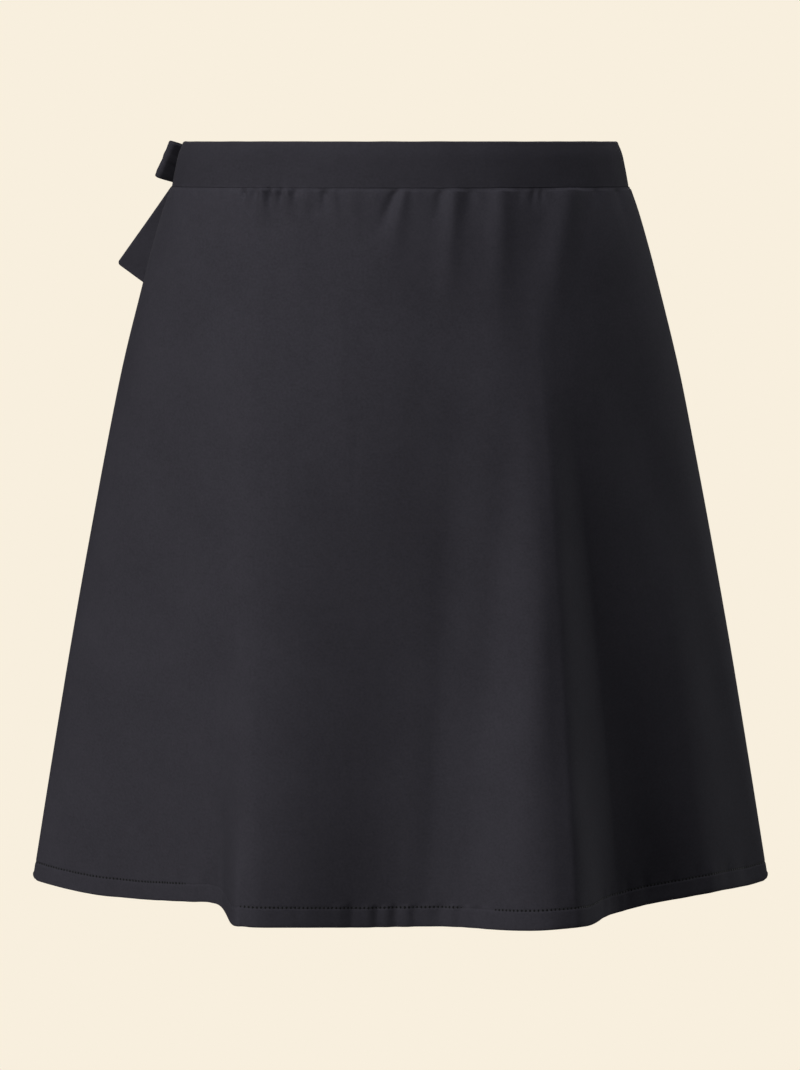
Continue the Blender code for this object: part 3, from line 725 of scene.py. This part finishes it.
class Nodes:
    """Short calls for building one material's node tree."""

    def __init__(self, name):
        self.material = bpy.data.materials.new(name)
        self.material.use_nodes = True
        self.tree = self.material.node_tree
        self.shader = self.tree.nodes["Principled BSDF"].inputs

    def add(self, kind, **settings):
        node = self.tree.nodes.new(kind)
        for key, value in settings.items():
            setattr(node, key, value)
        return node

    def put(self, socket, value):
        if isinstance(value, bpy.types.NodeSocket):
            self.tree.links.new(value, socket)
        else:
            socket.default_value = value

    def put_all(self, sockets, **values):
        """Put values on the named sockets, whose spaces are written as underscores."""
        for name, value in values.items():
            self.put(sockets[name.replace("_", " ")], value)

    def math(self, operation, first, second=0.0):
        node = self.add("ShaderNodeMath", operation=operation)
        self.put(node.inputs[0], first)
        self.put(node.inputs[1], second)
        return node.outputs[0]

    def times(self, first, second):
        return self.math("MULTIPLY", first, second)

    def plus(self, first, second):
        return self.math("ADD", first, second)

    def cloth_uv(self):
        return self.add("ShaderNodeUVMap", uv_map="ClothUV").outputs["UV"]

    def noise(self, vector, scale, detail, roughness):
        node = self.add("ShaderNodeTexNoise")
        self.put_all(node.inputs, Vector=vector, Scale=scale, Detail=detail, Roughness=roughness)
        return node.outputs["Fac"]

    def colour(self, share, colour, dark, light):
        """Colour the cloth between a darker and a lighter shade of its colour."""
        node = self.add("ShaderNodeMix", data_type="RGBA")
        self.put(node.inputs["Factor"], share)
        self.put(node.inputs[6], (*shade(colour, dark), 1.0))
        self.put(node.inputs[7], (*shade(colour, light), 1.0))
        self.put(self.shader["Base Color"], node.outputs[2])

    def bump(self, height, strength, distance):
        node = self.add("ShaderNodeBump")
        self.put_all(node.inputs, Strength=strength, Distance=distance, Height=height)
        self.put(self.shader["Normal"], node.outputs["Normal"])


def knit_material(name, colour, roughness, relief, sheen=0.0, wale=WALE, course=COURSE):
    """A fine jersey: V-shaped stitches in columns, a soft nap, uneven colour, painted shade between the
    stitches' legs and lighter worn edges.
    """
    nodes = Nodes(name)
    plus, times = nodes.plus, nodes.times
    uv = nodes.cloth_uv()
    split = nodes.add("ShaderNodeSeparateXYZ")
    nodes.put(split.inputs[0], uv)
    across = nodes.math("DIVIDE", split.outputs["X"], wale)
    down = nodes.math("DIVIDE", split.outputs["Y"], course)
    fraction = nodes.math("FRACT", plus(across, COLUMNS_OFF))
    off_middle = nodes.math("ABSOLUTE", nodes.math("SUBTRACT", fraction, 0.5))
    legs = nodes.math("SINE", times(off_middle, 2 * math.pi))
    slanted = plus(down, times(off_middle, LEG_SLANT))
    loops = nodes.math("SINE", times(slanted, 2 * math.pi))
    stitch = plus(times(legs, LEG_RELIEF), times(loops, LOOP_RELIEF))
    fuzz, slub, cloud, speckle = [nodes.noise(uv, *look) for look in (FUZZ, SLUB, CLOUD, SPECKLE)]
    height = plus(plus(stitch, times(fuzz, FUZZ_RELIEF)), times(slub, SLUB_RELIEF))
    nodes.bump(height, relief, KNIT_RELIEF)
    worn = nodes.add("ShaderNodeAttribute", attribute_name="wear").outputs["Fac"]
    # the legs' tone is painted shade of the knit's relief
    tone = plus(times(legs, LEG_SHADE), times(worn, times(slub, WORN_TONE)))
    for unevenness, weight in zip((cloud, slub, fuzz, speckle), TONES):
        tone = plus(tone, times(nodes.math("SUBTRACT", unevenness, 0.5), weight))
    share = nodes.add("ShaderNodeClamp")
    nodes.put(share.inputs["Value"], plus(tone, MIDDLE_TONE))
    nodes.colour(share.outputs[0], colour, *CLOTH_SHADES)
    rough = plus(times(slub, SLUB_ROUGHNESS), roughness - SLUB_ROUGHNESS / 2)
    nodes.put_all(nodes.shader, Roughness=rough, Specular_IOR_Level=CLOTH_SPECULAR)
    nodes.put_all(nodes.shader, Sheen_Weight=sheen, Sheen_Roughness=SHEEN_ROUGHNESS, Sheen_Tint=SHEEN_TINT)
    return nodes.material


def thread_material(name, colour, roughness):
    nodes = Nodes(name)
    grain = nodes.noise(nodes.cloth_uv(), *GRAIN)
    nodes.colour(grain, colour, *THREAD_SHADES)
    nodes.bump(grain, THREAD_BUMP, THREAD_RELIEF)
    nodes.put_all(nodes.shader, Roughness=roughness, Specular_IOR_Level=THREAD_SPECULAR)
    return nodes.material


SKIRT_CLOTH = knit_material("skirt_jersey", CHARCOAL, 0.88, 0.45)
# A darker copy of the charcoal: painted shade on the waistband.
BAND_CLOTH_SHADED = knit_material("band_jersey_painted_shade", shade(CHARCOAL, 0.89), 0.86, 0.40)
SHORTS_CLOTH = knit_material("shorts_jersey", (0.026, 0.026, 0.030), 0.88, 0.35, 0.03, 0.0007, 0.00055)
# A darker copy of the charcoal: painted shade on the bow's knot, loops and ends.
TIE_CLOTH_SHADED = knit_material("tie_jersey_painted_shade", shade(CHARCOAL, 0.91), 0.88, 0.45)
THREAD = thread_material("sewing_thread", (0.020, 0.020, 0.023), 0.6)
# Near-black: painted shade inside the needle holes, not a colour of the cloth.
NEEDLE_HOLE_SHADE = thread_material("needle_hole_painted_shade", (0.0045, 0.0045, 0.0050), 0.9)


# ---- waistband

BAND_LOW_ROUND = 0.0005
BAND_TOP_ROUND = BAND_THICKNESS / 2
BAND_UPPER_ROWS = 19
BAND_LOW_ROWS = [2.2, 1.5, 0.9, 0.4, 0.0]  # millimetres above the lower round
BAND_WAVE = 0.00006
BAND_WAVE_TURNS = (7, 11, 16, 23, 31)
BAND_SEED = 5
BAND_WAVE_LEAN = 60.0
PULL_SHARE = 0.10  # the band's lower edge follows this share of the gathers' height
PULL_BREADTH = 1.1
PULL_REACH = 0.004
PULL_SIDE = 0.01  # each side's gathers fade out over this distance from the side seams
QUARTER_TURNS = [math.radians(turn) for turn in (22.5, 45.0, 67.5, 90.0)]


def waist_point(angle, height, outward=0.0):
    """A point on the band's outer face, or outward from it along the plan's normal."""
    half_width = float(smooth_column(BAND_ROWS, "half_width", height))
    half_depth = half_width - WAIST_FLATTENING
    normal = Vector((math.cos(angle) / half_width, math.sin(angle) / half_depth, 0.0)).normalized()
    face = Vector((half_width * math.cos(angle), half_depth * math.sin(angle), height))
    return face + normal * outward


def turned_under(edge, inward):
    """Rows of points that round the band's lower edge, from one of its faces to its lowest line."""
    down = np.array([0.0, 0.0, -1.0])
    rounds = [inward * (1.0 - math.cos(turn)) + down * math.sin(turn) for turn in QUARTER_TURNS]
    return [edge + BAND_LOW_ROUND * part for part in rounds]


def waistband(name, material):
    """The band's ring: flat cloth over elastic, rolled over at the top and turned under at the seam."""
    low = -BAND_HEIGHT / 2 + BAND_LOW_ROUND
    lower = low + np.array(BAND_LOW_ROWS) * MM
    upper = np.linspace(BAND_HEIGHT / 2 - BAND_TOP_ROUND, lower[0], BAND_UPPER_ROWS + 1)
    heights = np.concatenate([upper[:-1], lower])[:, None]
    angles = np.linspace(0.0, 2 * math.pi, BAND_COLUMNS, endpoint=False)
    half_width = smooth_column(BAND_ROWS, "half_width", heights)
    half_depth = half_width - WAIST_FLATTENING
    level = np.zeros((len(heights), BAND_COLUMNS))
    face = np.stack([half_width * np.cos(angles), half_depth * np.sin(angles), heights + level], axis=2)
    plan = unit(np.stack([np.cos(angles) / half_width, np.sin(angles) / half_depth, level], axis=2))
    waves = np.zeros_like(level)
    rng = np.random.default_rng(BAND_SEED)
    for turns in BAND_WAVE_TURNS:
        phase = rng.uniform(0.0, 2 * math.pi)
        lean = rng.uniform(-BAND_WAVE_LEAN, BAND_WAVE_LEAN)
        waves += np.sin(turns * angles + phase + lean * heights) * BAND_WAVE
    pull = np.zeros_like(level)
    for side in (BACK, FRONT):
        on_side = smooth_step(side.direction * face[:, :, 1] / PULL_SIDE)
        for gather in side.gathers:
            near = bell((face[:, :, 0] / MM - gather.at) / (gather.width * PULL_BREADTH))
            pull += PULL_SHARE * gather.height * MM * near * on_side
    outer = face + plan * (waves + pull * bell((heights - low) / PULL_REACH))[:, :, None]
    inner = face - plan * BAND_THICKNESS
    low_cap = turned_under(outer[-1], -plan[-1]) + turned_under(inner[-1], plan[-1])[::-1]
    top_cap = rounded_edge(inner[0], outer[0], np.array([0.0, 0.0, 1.0]), BAND_CAP_STEPS)
    uv = np.stack([distances(face[0]) + level, heights + level], axis=2)
    wear = bell((heights - BAND_HEIGHT / 2) / WORN_SEAM)
    wear += BAND_EDGE_WEAR * bell((heights - low) / (WORN_SEAM / 2))
    wear = np.clip(wear + level, 0.0, 1.0)
    return make_shell(name, outer, inner, np.array(low_cap), uv, wear, material, top_cap), face


# ---- shorts

SHORTS_MIDDLE = 0.00003  # half of the gap between the two halves
SHORTS_LEAST = 0.00002  # what the finer shape leaves of it at least
SHORTS_SEED = 31
SHORTS_WAVE = 0.00022
SHORTS_WAVE_EASE = 0.02
SHORTS_TUCK = 0.0006  # the shorts lie this much further in at the waist
SHORTS_TUCK_REACH = 0.05  # drop at which that ends
SHORTS_SEAM_EASE = 0.006
SHORTS_SEAM_DIP = 0.0002
SHORTS_SEAM_DIP_REACH = 0.0014
SHORTS_TURN_SHARE = 0.7  # how much thicker the turned hem is, as a share of the wall
SHORTS_TURN_ABOVE = 0.0012  # the turned hem's upper edge lies this far above its stitches


def shorts_row(drop):
    """Outer face of the right half at one drop, from its back edge round the side to its front edge."""
    sizes = [float(smooth_column(SHORTS_ROWS, name, drop)) for name in ShortsRow._fields[1:]]
    centre, half_width, depth_back, depth_front = sizes
    inseam_turn = math.pi - 2 * SHORTS_MIDDLE / (depth_back + depth_front)
    last_turn = min(math.acos(max(-1.0, (SHORTS_MIDDLE - centre) / half_width)), inseam_turn)
    turn = np.linspace(-last_turn, last_turn, CURVE_STEPS + 1)
    depth = np.where(turn < 0.0, depth_back, depth_front)
    height = np.full_like(turn, SKIRT_TOP - drop)
    return np.column_stack([centre + half_width * np.cos(turn), depth * np.sin(turn), height])


def shorts_half(name, side, material):
    """One half's shell, its outer face as a grid, and the grid's row of stitches."""
    stitch = SHORTS_LENGTH - SHORTS_HEM
    upper = np.linspace(0.0, stitch - SHORTS_UPPER_END, SHORTS_UPPER_ROWS)
    low = stitch + np.array(SHORTS_STITCH_ROWS) * MM
    drops = np.concatenate([upper, low, [SHORTS_LENGTH - SHORTS_WALL]])
    base = np.array([evenly_spaced(shorts_row(drop), SHORTS_COLUMNS) for drop in drops])
    if side < 0:
        base = base[:, ::-1] * np.array([-1.0, 1.0, 1.0])
    normals = grid_normals(base)
    u, v, from_seam = cloth_places(base, drops)
    large = wave_shape(u, v, SHORTS_SEED + side, SHORTS_WAVE) * smooth_step(from_seam / SHORTS_WAVE_EASE)
    large += crease_shape(SHORTS_CREASES, from_seam / MM, drops[:, None] / MM) * MM
    large -= SHORTS_TUCK * (1.0 - smooth_step(drops / SHORTS_TUCK_REACH))[:, None]
    large *= smooth_step(from_seam / SHORTS_SEAM_EASE)
    fine = hem_groove(drops, stitch, SHORTS_LENGTH)[:, None]
    fine = fine - SHORTS_SEAM_DIP * bell(from_seam / SHORTS_SEAM_DIP_REACH)
    turned = smooth_step((drops - stitch + SHORTS_TURN_ABOVE) / HEM_STEP)[:, None]
    outer = base + normals * (large + fine)[:, :, None]
    inner = base + normals * (large - SHORTS_WALL * (1.0 + SHORTS_TURN_SHARE * turned))[:, :, None]
    for grid in (outer, inner):
        grid[:, :, 0] = side * np.maximum(side * grid[:, :, 0], SHORTS_LEAST)
    worn = bell((SHORTS_LENGTH - drops) / WORN_SEAM)[:, None] + LEG_SEAM_WEAR * bell(from_seam / WORN_SEAM)
    piece = hemmed_shell(name, outer, inner, np.stack([u, v], axis=2), worn, SHORTS_CAP_STEPS, material)
    return piece, outer, SHORTS_UPPER_ROWS + SHORTS_STITCH_ROWS.index(0.0)


# ---- bow

Ribbon = namedtuple("Ribbon", "name lead across forward length bend seed")
LOOPS = [
    Ribbon("bow_loop_back", (-0.75, -0.55, 0.24), (-0.45, 0.12, -0.89), 0.0, 0.0197, 0.0018, 3),
    Ribbon("bow_loop_front", (0.50, 0.86, -0.04), (-0.08, 0.02, -1.00), 0.0, 0.0300, 0.0034, 4),
]
ENDS = [
    Ribbon("tie_end_back", (-0.578, 0.050, -0.816), (0.790, -0.150, -0.530), 0.0014, 0.0608, 0.0015, 7),
    Ribbon("tie_end_front", (-0.100, 0.400, -0.900), (0.620, 0.740, 0.250), 0.0058, 0.0640, 0.0040, 8),
]
ROOT_PARTS = (-1.0, -0.5, 0.0, 0.5, 1.0)
RIBBON_EDGE = 0.0009
RIBBON_SIDE_STEPS = 30
RIBBON_EDGE_TURNS = [60.0, 30.0, 0.0, -30.0, -60.0]
RIBBON_FACES_APART = 0.03  # distance in the UV map between the middle of the strip and each face
LOOP_STATIONS = 110
LOOP_TIP_STEPS = 16
LOOP_SWELL = 0.0002
END_STATIONS = 120
END_SWELL = 0.0001
END_RIPPLE = 0.0005
END_ROUND = 0.0020  # radius of a tie end's corners
END_ROUND_STEPS = 12
PLEAT_HEIGHT = 0.00050
PLEAT_REACH = 0.016
PLEAT_TURNS = (7.5, 12.5)  # radians from the strip's middle to its edge
PLEAT_SECOND = 0.6  # height of the finer pleats, as a share of the others'
RIBBON_WEAR = 0.8
END_RIPPLE_TURNS = 2.6


def knot_frame():
    """The knot's centre, and its directions along the band, outward and up."""
    seat = waist_point(KNOT_ANGLE, -KNOT_DROP)
    above = waist_point(KNOT_ANGLE, BAND_HEIGHT / 4)
    below = waist_point(KNOT_ANGLE, -BAND_HEIGHT / 2)
    up = (above - below).normalized()
    along = (waist_point(KNOT_ANGLE, -KNOT_DROP, 1.0) - seat).cross(up).normalized()
    outward = up.cross(along)
    centre = seat + outward * (KNOT_SEAT + KNOT_SIZE[1] / 2)
    return centre, along, outward, up


def knot_level(point):
    """Less than 1 inside the knot, and more outside."""
    return sum(abs(part / (size / 2)) ** KNOT_SQUARENESS for part, size in zip(point, KNOT_SIZE))


def root_reach(shift, lead, across):
    """How far along its lead a ribbon's end lies clear of the knot, in the knot's own frame."""
    face = lead.cross(across)
    sides = [across * (TIE_ROOT_WIDTH / 2 * part) for part in ROOT_PARTS]
    layers = [face * (ROOT_DEPTH / 2 * part) for part in ROOT_PARTS]
    corners = [side + layer for side in sides for layer in layers]
    reach = 0.0
    while min(knot_level(shift + lead * reach + corner) for corner in corners) < 1.0:
        reach += REACH_STEP
    return reach + SEAM_GAP


def ribbon_axes(ribbon):
    """The ribbon's start, its lead, its width direction and its face direction."""
    centre, *axes = knot_frame()
    lead = Vector(ribbon.lead).normalized()
    across = Vector(ribbon.across)
    across = (across - lead * across.dot(lead)).normalized()
    shift = Vector((0.0, ribbon.forward, 0.0))
    inside = [Vector([part.dot(axis) for axis in axes]) for part in (shift, lead, across)]
    start = centre + shift + lead * root_reach(*inside)
    return [np.array(part) for part in (start, lead, across, lead.cross(across))]


def tie_width(reach):
    return TIE_ROOT_WIDTH + (TIE_WIDTH - TIE_ROOT_WIDTH) * smooth_step(reach / TIE_SPREAD)


def ribbon_section():
    """Round the doubled strip: across from -1 to 1, how far up a face, and the edge's own offset."""
    half = [(q, 1.0, 0.0) for q in np.linspace(-1.0, 1.0, RIBBON_SIDE_STEPS)]
    half += [(1.0, math.sin(turn), math.cos(turn)) for turn in np.radians(RIBBON_EDGE_TURNS)]
    return np.concatenate([half, -np.array(half)])


def ribbon_mesh(ribbon, centres, faces, across, widths, reaches, swell, material):
    """A closed strip of doubled cloth along its centres, pleated where it leaves the knot."""
    q, level, edge = ribbon_section().T
    rng = np.random.default_rng(ribbon.seed)
    phase, second = rng.uniform(0.0, 2 * math.pi, 2)
    travelled = distances(centres)[:, None]
    pleats = np.sin(PLEAT_TURNS[0] * q + phase) + PLEAT_SECOND * np.sin(PLEAT_TURNS[1] * q + second)
    lift = PLEAT_HEIGHT * bell(reaches / PLEAT_REACH)[:, None] * pleats
    lift += swell * (1.0 - q * q) * np.sin(math.pi * travelled / travelled[-1])
    side = q * (widths[:, None] / 2 - RIBBON_EDGE) + edge * RIBBON_EDGE
    out = level * TIE_THICKNESS / 2 + lift
    points = centres[:, None] + across * side[:, :, None] + faces[:, None] * out[:, :, None]
    uvs = np.stack([q * widths[:, None] / 2 + level * RIBBON_FACES_APART, travelled + 0.0 * q], axis=2)
    index = np.arange(points.shape[0] * points.shape[1]).reshape(points.shape[:2])
    quads = quads_between(index, True, False)
    quads += [tuple(index[0].tolist()), tuple(index[-1][::-1].tolist())]
    wear = np.tile(np.abs(edge) * RIBBON_WEAR, len(points))
    name = ribbon.name + "_cloth"
    piece = new_piece(name, points.reshape(-1, 3), quads, uvs.reshape(-1, 2), wear, material)
    solid = bmesh.new()
    solid.from_mesh(piece.data)
    bmesh.ops.recalc_face_normals(solid, faces=solid.faces[:])
    solid.to_mesh(piece.data)
    solid.free()
    return piece


def loop_path(length, radius):
    """A loop seen along its width: out on one side, round the tip and back, as reach and offset."""
    tip = length - radius
    slant = math.asin((radius - LOOP_ROOT_SPLIT / 2) / tip)
    path = [(0.0, -LOOP_ROOT_SPLIT / 2)]
    for step in range(LOOP_TIP_STEPS + 1):
        angle = -(math.pi / 2 + slant) + (math.pi + 2 * slant) * step / LOOP_TIP_STEPS
        path.append((tip + radius * math.cos(angle), radius * math.sin(angle)))
    path.append((0.0, LOOP_ROOT_SPLIT / 2))
    return path


def bow_loop(ribbon, material):
    start, lead, across, face = ribbon_axes(ribbon)
    path = smooth_path(loop_path(ribbon.length, ribbon.bend), LOOP_STATIONS)
    tangents = unit(np.gradient(path, axis=0))
    centres = start + path[:, :1] * lead + path[:, 1:] * face
    faces = tangents[:, :1] * face - tangents[:, 1:] * lead
    reach = path[:, 0]
    return ribbon_mesh(ribbon, centres, faces, across, tie_width(reach), reach, LOOP_SWELL, material)


def tie_end(ribbon, material):
    """A strip that hangs from the knot, bent a little, with rounded corners."""
    start, lead, across, face = ribbon_axes(ribbon)
    corner = END_ROUND / ribbon.length
    turn = np.sin(np.linspace(0.0, math.pi / 2, END_ROUND_STEPS)[1:])
    share = np.concatenate([np.linspace(0.0, 1.0 - corner, END_STATIONS), 1.0 - corner * (1.0 - turn)])
    reach = ribbon.length * share
    ripple = END_RIPPLE * np.sin(END_RIPPLE_TURNS * math.pi * share + ribbon.seed) * share * (1.0 - share)
    centres = start + reach[:, None] * lead + (ribbon.bend * share**2 + ripple)[:, None] * face
    faces = np.cross(unit(np.gradient(centres, axis=0)), across)
    widths = tie_width(reach)
    widths[END_STATIONS:] -= 2 * END_ROUND * (1.0 - np.sqrt(np.maximum(0.0, 1.0 - turn**2)))
    return ribbon_mesh(ribbon, centres, faces, across, widths, reach, END_SWELL, material)


KNOT_SEGMENTS = 96
KNOT_RINGS = 64
KNOT_FOLD = 0.00045
KNOT_TURNS = (8.5, 15.0)  # radians from the knot's middle to its side
KNOT_SECOND = 1.1  # turn of the finer folds against the others
KNOT_BEND = 0.6  # how far the folds bend, and how fast, up the knot
KNOT_BEND_TURN = 2.2
KNOT_FOLD_SHARE = 0.66
KNOT_BACK = 0.25  # share of a fold that is left at the knot's back


def bow_knot(name, material):
    """The strip's turn round the bow's middle, with the folds that its pull makes."""
    centre, along, outward, up = knot_frame()
    directions, faces = ball(KNOT_SEGMENTS, KNOT_RINGS)
    points = []
    uvs = []
    for direction in directions:
        direction = Vector(direction).normalized()
        part = direction * knot_level(direction) ** (-1.0 / KNOT_SQUARENESS)
        q = part.x / (KNOT_SIZE[0] / 2)
        face = max(0.0, part.y / (KNOT_SIZE[1] / 2))
        bend = KNOT_BEND * math.sin(KNOT_BEND_TURN * part.z / (KNOT_SIZE[2] / 2))
        fold = math.sin(KNOT_TURNS[0] * q + bend) + 0.5 * math.sin(KNOT_TURNS[1] * q - bend + KNOT_SECOND)
        depth = KNOT_FOLD * (1.0 + KNOT_FOLD_SHARE * fold) * (KNOT_BACK + (1.0 - KNOT_BACK) * face)
        part = part - direction * depth * (1.0 - q**6)
        points.append(centre + along * part.x + outward * part.y + up * part.z)
        uvs.append((part.x, part.z + part.y))
    return new_piece(name, points, faces, uvs, np.zeros(len(points)), material)


# ---- the pieces


def finish_piece(piece, node, slot, *riders):
    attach(piece, "root")
    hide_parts(node)
    for rider in riders:
        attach(rider, "root")


def finish_panel(node, slot, parts, sunk):
    """Stitch a hung panel's hem and attach it and its stitches to the body."""
    piece, outer, row = parts
    # the hole blobs are painted shade of the needle holes
    hole_shades, threads = hem_stitches(node + "_stitch", outer, row, sunk)
    finish_piece(piece, node, slot, hole_shades, threads)


def make_skirt(node, side):
    parts = skirt_panel(node + "_cloth", side, SKIRT_CLOTH)
    finish_panel(node, "skirt_knit", parts, side.sunk)


def make_shorts(node, side):
    parts = shorts_half(node + "_cloth", side, SHORTS_CLOTH)
    finish_panel(node, "shorts_knit", parts, [])


make_skirt("skirt_back", BACK)
make_skirt("skirt_front", FRONT)
make_shorts("shorts_right", 1)
make_shorts("shorts_left", -1)

band, band_face = waistband("waistband_cloth", BAND_CLOTH_SHADED)
finish_piece(band, "waistband", "waistband_knit")

knot = bow_knot("bow_knot_cloth", TIE_CLOTH_SHADED)
finish_piece(knot, "bow_knot", "tie_knit")
for ribbon in LOOPS:
    piece = bow_loop(ribbon, TIE_CLOTH_SHADED)
    finish_piece(piece, ribbon.name, "tie_knit")
for ribbon in ENDS:
    piece = tie_end(ribbon, TIE_CLOTH_SHADED)
    finish_piece(piece, ribbon.name, "tie_knit")


# ---- floor, light and camera

CREAM = (0.939, 0.863, 0.730, 1.0)
FLOOR_HEIGHT = -1.0
FLOOR_REACH = 14.0
AMBIENT = 0.01
AMBIENT_COLOUR = (0.96, 0.97, 1.0, 1.0)


def empty_tree(owner):
    """The node tree of a world or a material, with nothing in it."""
    owner.use_nodes = True
    owner.node_tree.nodes.clear()
    return owner.node_tree


def make_floor():
    """A cream sheet that only the camera sees, so that it takes no shadow and throws no light."""
    mesh = bpy.data.meshes.new("floor")
    corners = ((-1, -1), (1, -1), (1, 1), (-1, 1))
    points = [(x * FLOOR_REACH, y * FLOOR_REACH, FLOOR_HEIGHT) for x, y in corners]
    mesh.from_pydata(points, [], [(0, 1, 2, 3)])
    material = bpy.data.materials.new("floor_paper")
    tree = empty_tree(material)
    glow = tree.nodes.new("ShaderNodeEmission")
    glow.inputs["Color"].default_value = CREAM
    end = tree.nodes.new("ShaderNodeOutputMaterial")
    tree.links.new(glow.outputs[0], end.inputs["Surface"])
    mesh.materials.append(material)
    floor = add_object("floor", mesh)
    for ray in ("diffuse", "glossy", "transmission", "volume_scatter", "shadow"):
        setattr(floor, "visible_" + ray, False)


def make_world():
    """A plain cream studio: bright to look at, and dim as a light, so that the lamps shape the cloth."""
    world = bpy.data.worlds.new("studio")
    bpy.context.scene.world = world
    tree = empty_tree(world)
    seen, soft = [tree.nodes.new("ShaderNodeBackground") for _ in range(2)]
    seen.inputs["Color"].default_value = CREAM
    soft.inputs["Color"].default_value = AMBIENT_COLOUR
    soft.inputs["Strength"].default_value = AMBIENT
    path = tree.nodes.new("ShaderNodeLightPath")
    mix = tree.nodes.new("ShaderNodeMixShader")
    end = tree.nodes.new("ShaderNodeOutputWorld")
    tree.links.new(path.outputs["Is Camera Ray"], mix.inputs[0])
    tree.links.new(soft.outputs[0], mix.inputs[1])
    tree.links.new(seen.outputs[0], mix.inputs[2])
    tree.links.new(mix.outputs[0], end.inputs["Surface"])


# azimuth is in degrees from the camera's side towards the wearer's left, and elevation is above level.
Lamp = namedtuple("Lamp", "name azimuth elevation distance width height power colour")
LAMPS = [
    Lamp("key", 49.0, -5.0, 2.4, 1.5, 1.7, 49.8, (1.0, 0.99, 0.98)),
    Lamp("top", 8.0, 73.0, 2.4, 1.5, 1.7, 52.0, (0.98, 0.98, 1.0)),
    Lamp("side", -115.0, -5.0, 2.4, 1.5, 1.7, 29.0, (0.98, 1.0, 0.98)),
    Lamp("front", 178.0, 26.0, 2.8, 1.8, 1.6, 30.0, (1.0, 0.99, 0.98)),
]
LAMP_AIM = Vector((0.0, 0.0, -0.20))


def make_lamps():
    for lamp in LAMPS:
        data = bpy.data.lights.new(lamp.name, "AREA")
        data.shape = "RECTANGLE"
        data.size = lamp.width
        data.size_y = lamp.height
        data.energy = lamp.power
        data.color = lamp.colour
        turn = math.radians(lamp.azimuth)
        rise = math.radians(lamp.elevation)
        away = Vector((-math.sin(turn) * math.cos(rise), -math.cos(turn) * math.cos(rise), math.sin(rise)))
        light = add_object(lamp.name, data)
        light.location = LAMP_AIM + away * lamp.distance
        light.rotation_mode = "QUATERNION"
        light.rotation_quaternion = (-away).to_track_quat("-Z", "Y")


CAMERA_PLACE = (-0.00025, -2.2, 0.0125)
CAMERA_PITCH = math.atan(0.0994)  # how far it looks down
CAMERA_LENS = 133.23
SENSOR_WIDTH = 36.0


def make_camera():
    data = bpy.data.cameras.new("camera")
    data.sensor_width = SENSOR_WIDTH
    data.lens = CAMERA_LENS
    data.clip_start = 0.05
    data.clip_end = 60.0
    camera = add_object("camera", data)
    camera.location = CAMERA_PLACE
    camera.rotation_euler = (math.pi / 2 - CAMERA_PITCH, 0.0, 0.0)
    bpy.context.scene.camera = camera


make_floor()
make_world()
make_lamps()
make_camera()
bpy.context.scene.view_settings.view_transform = "Standard"
bpy.context.scene.view_settings.look = "None"
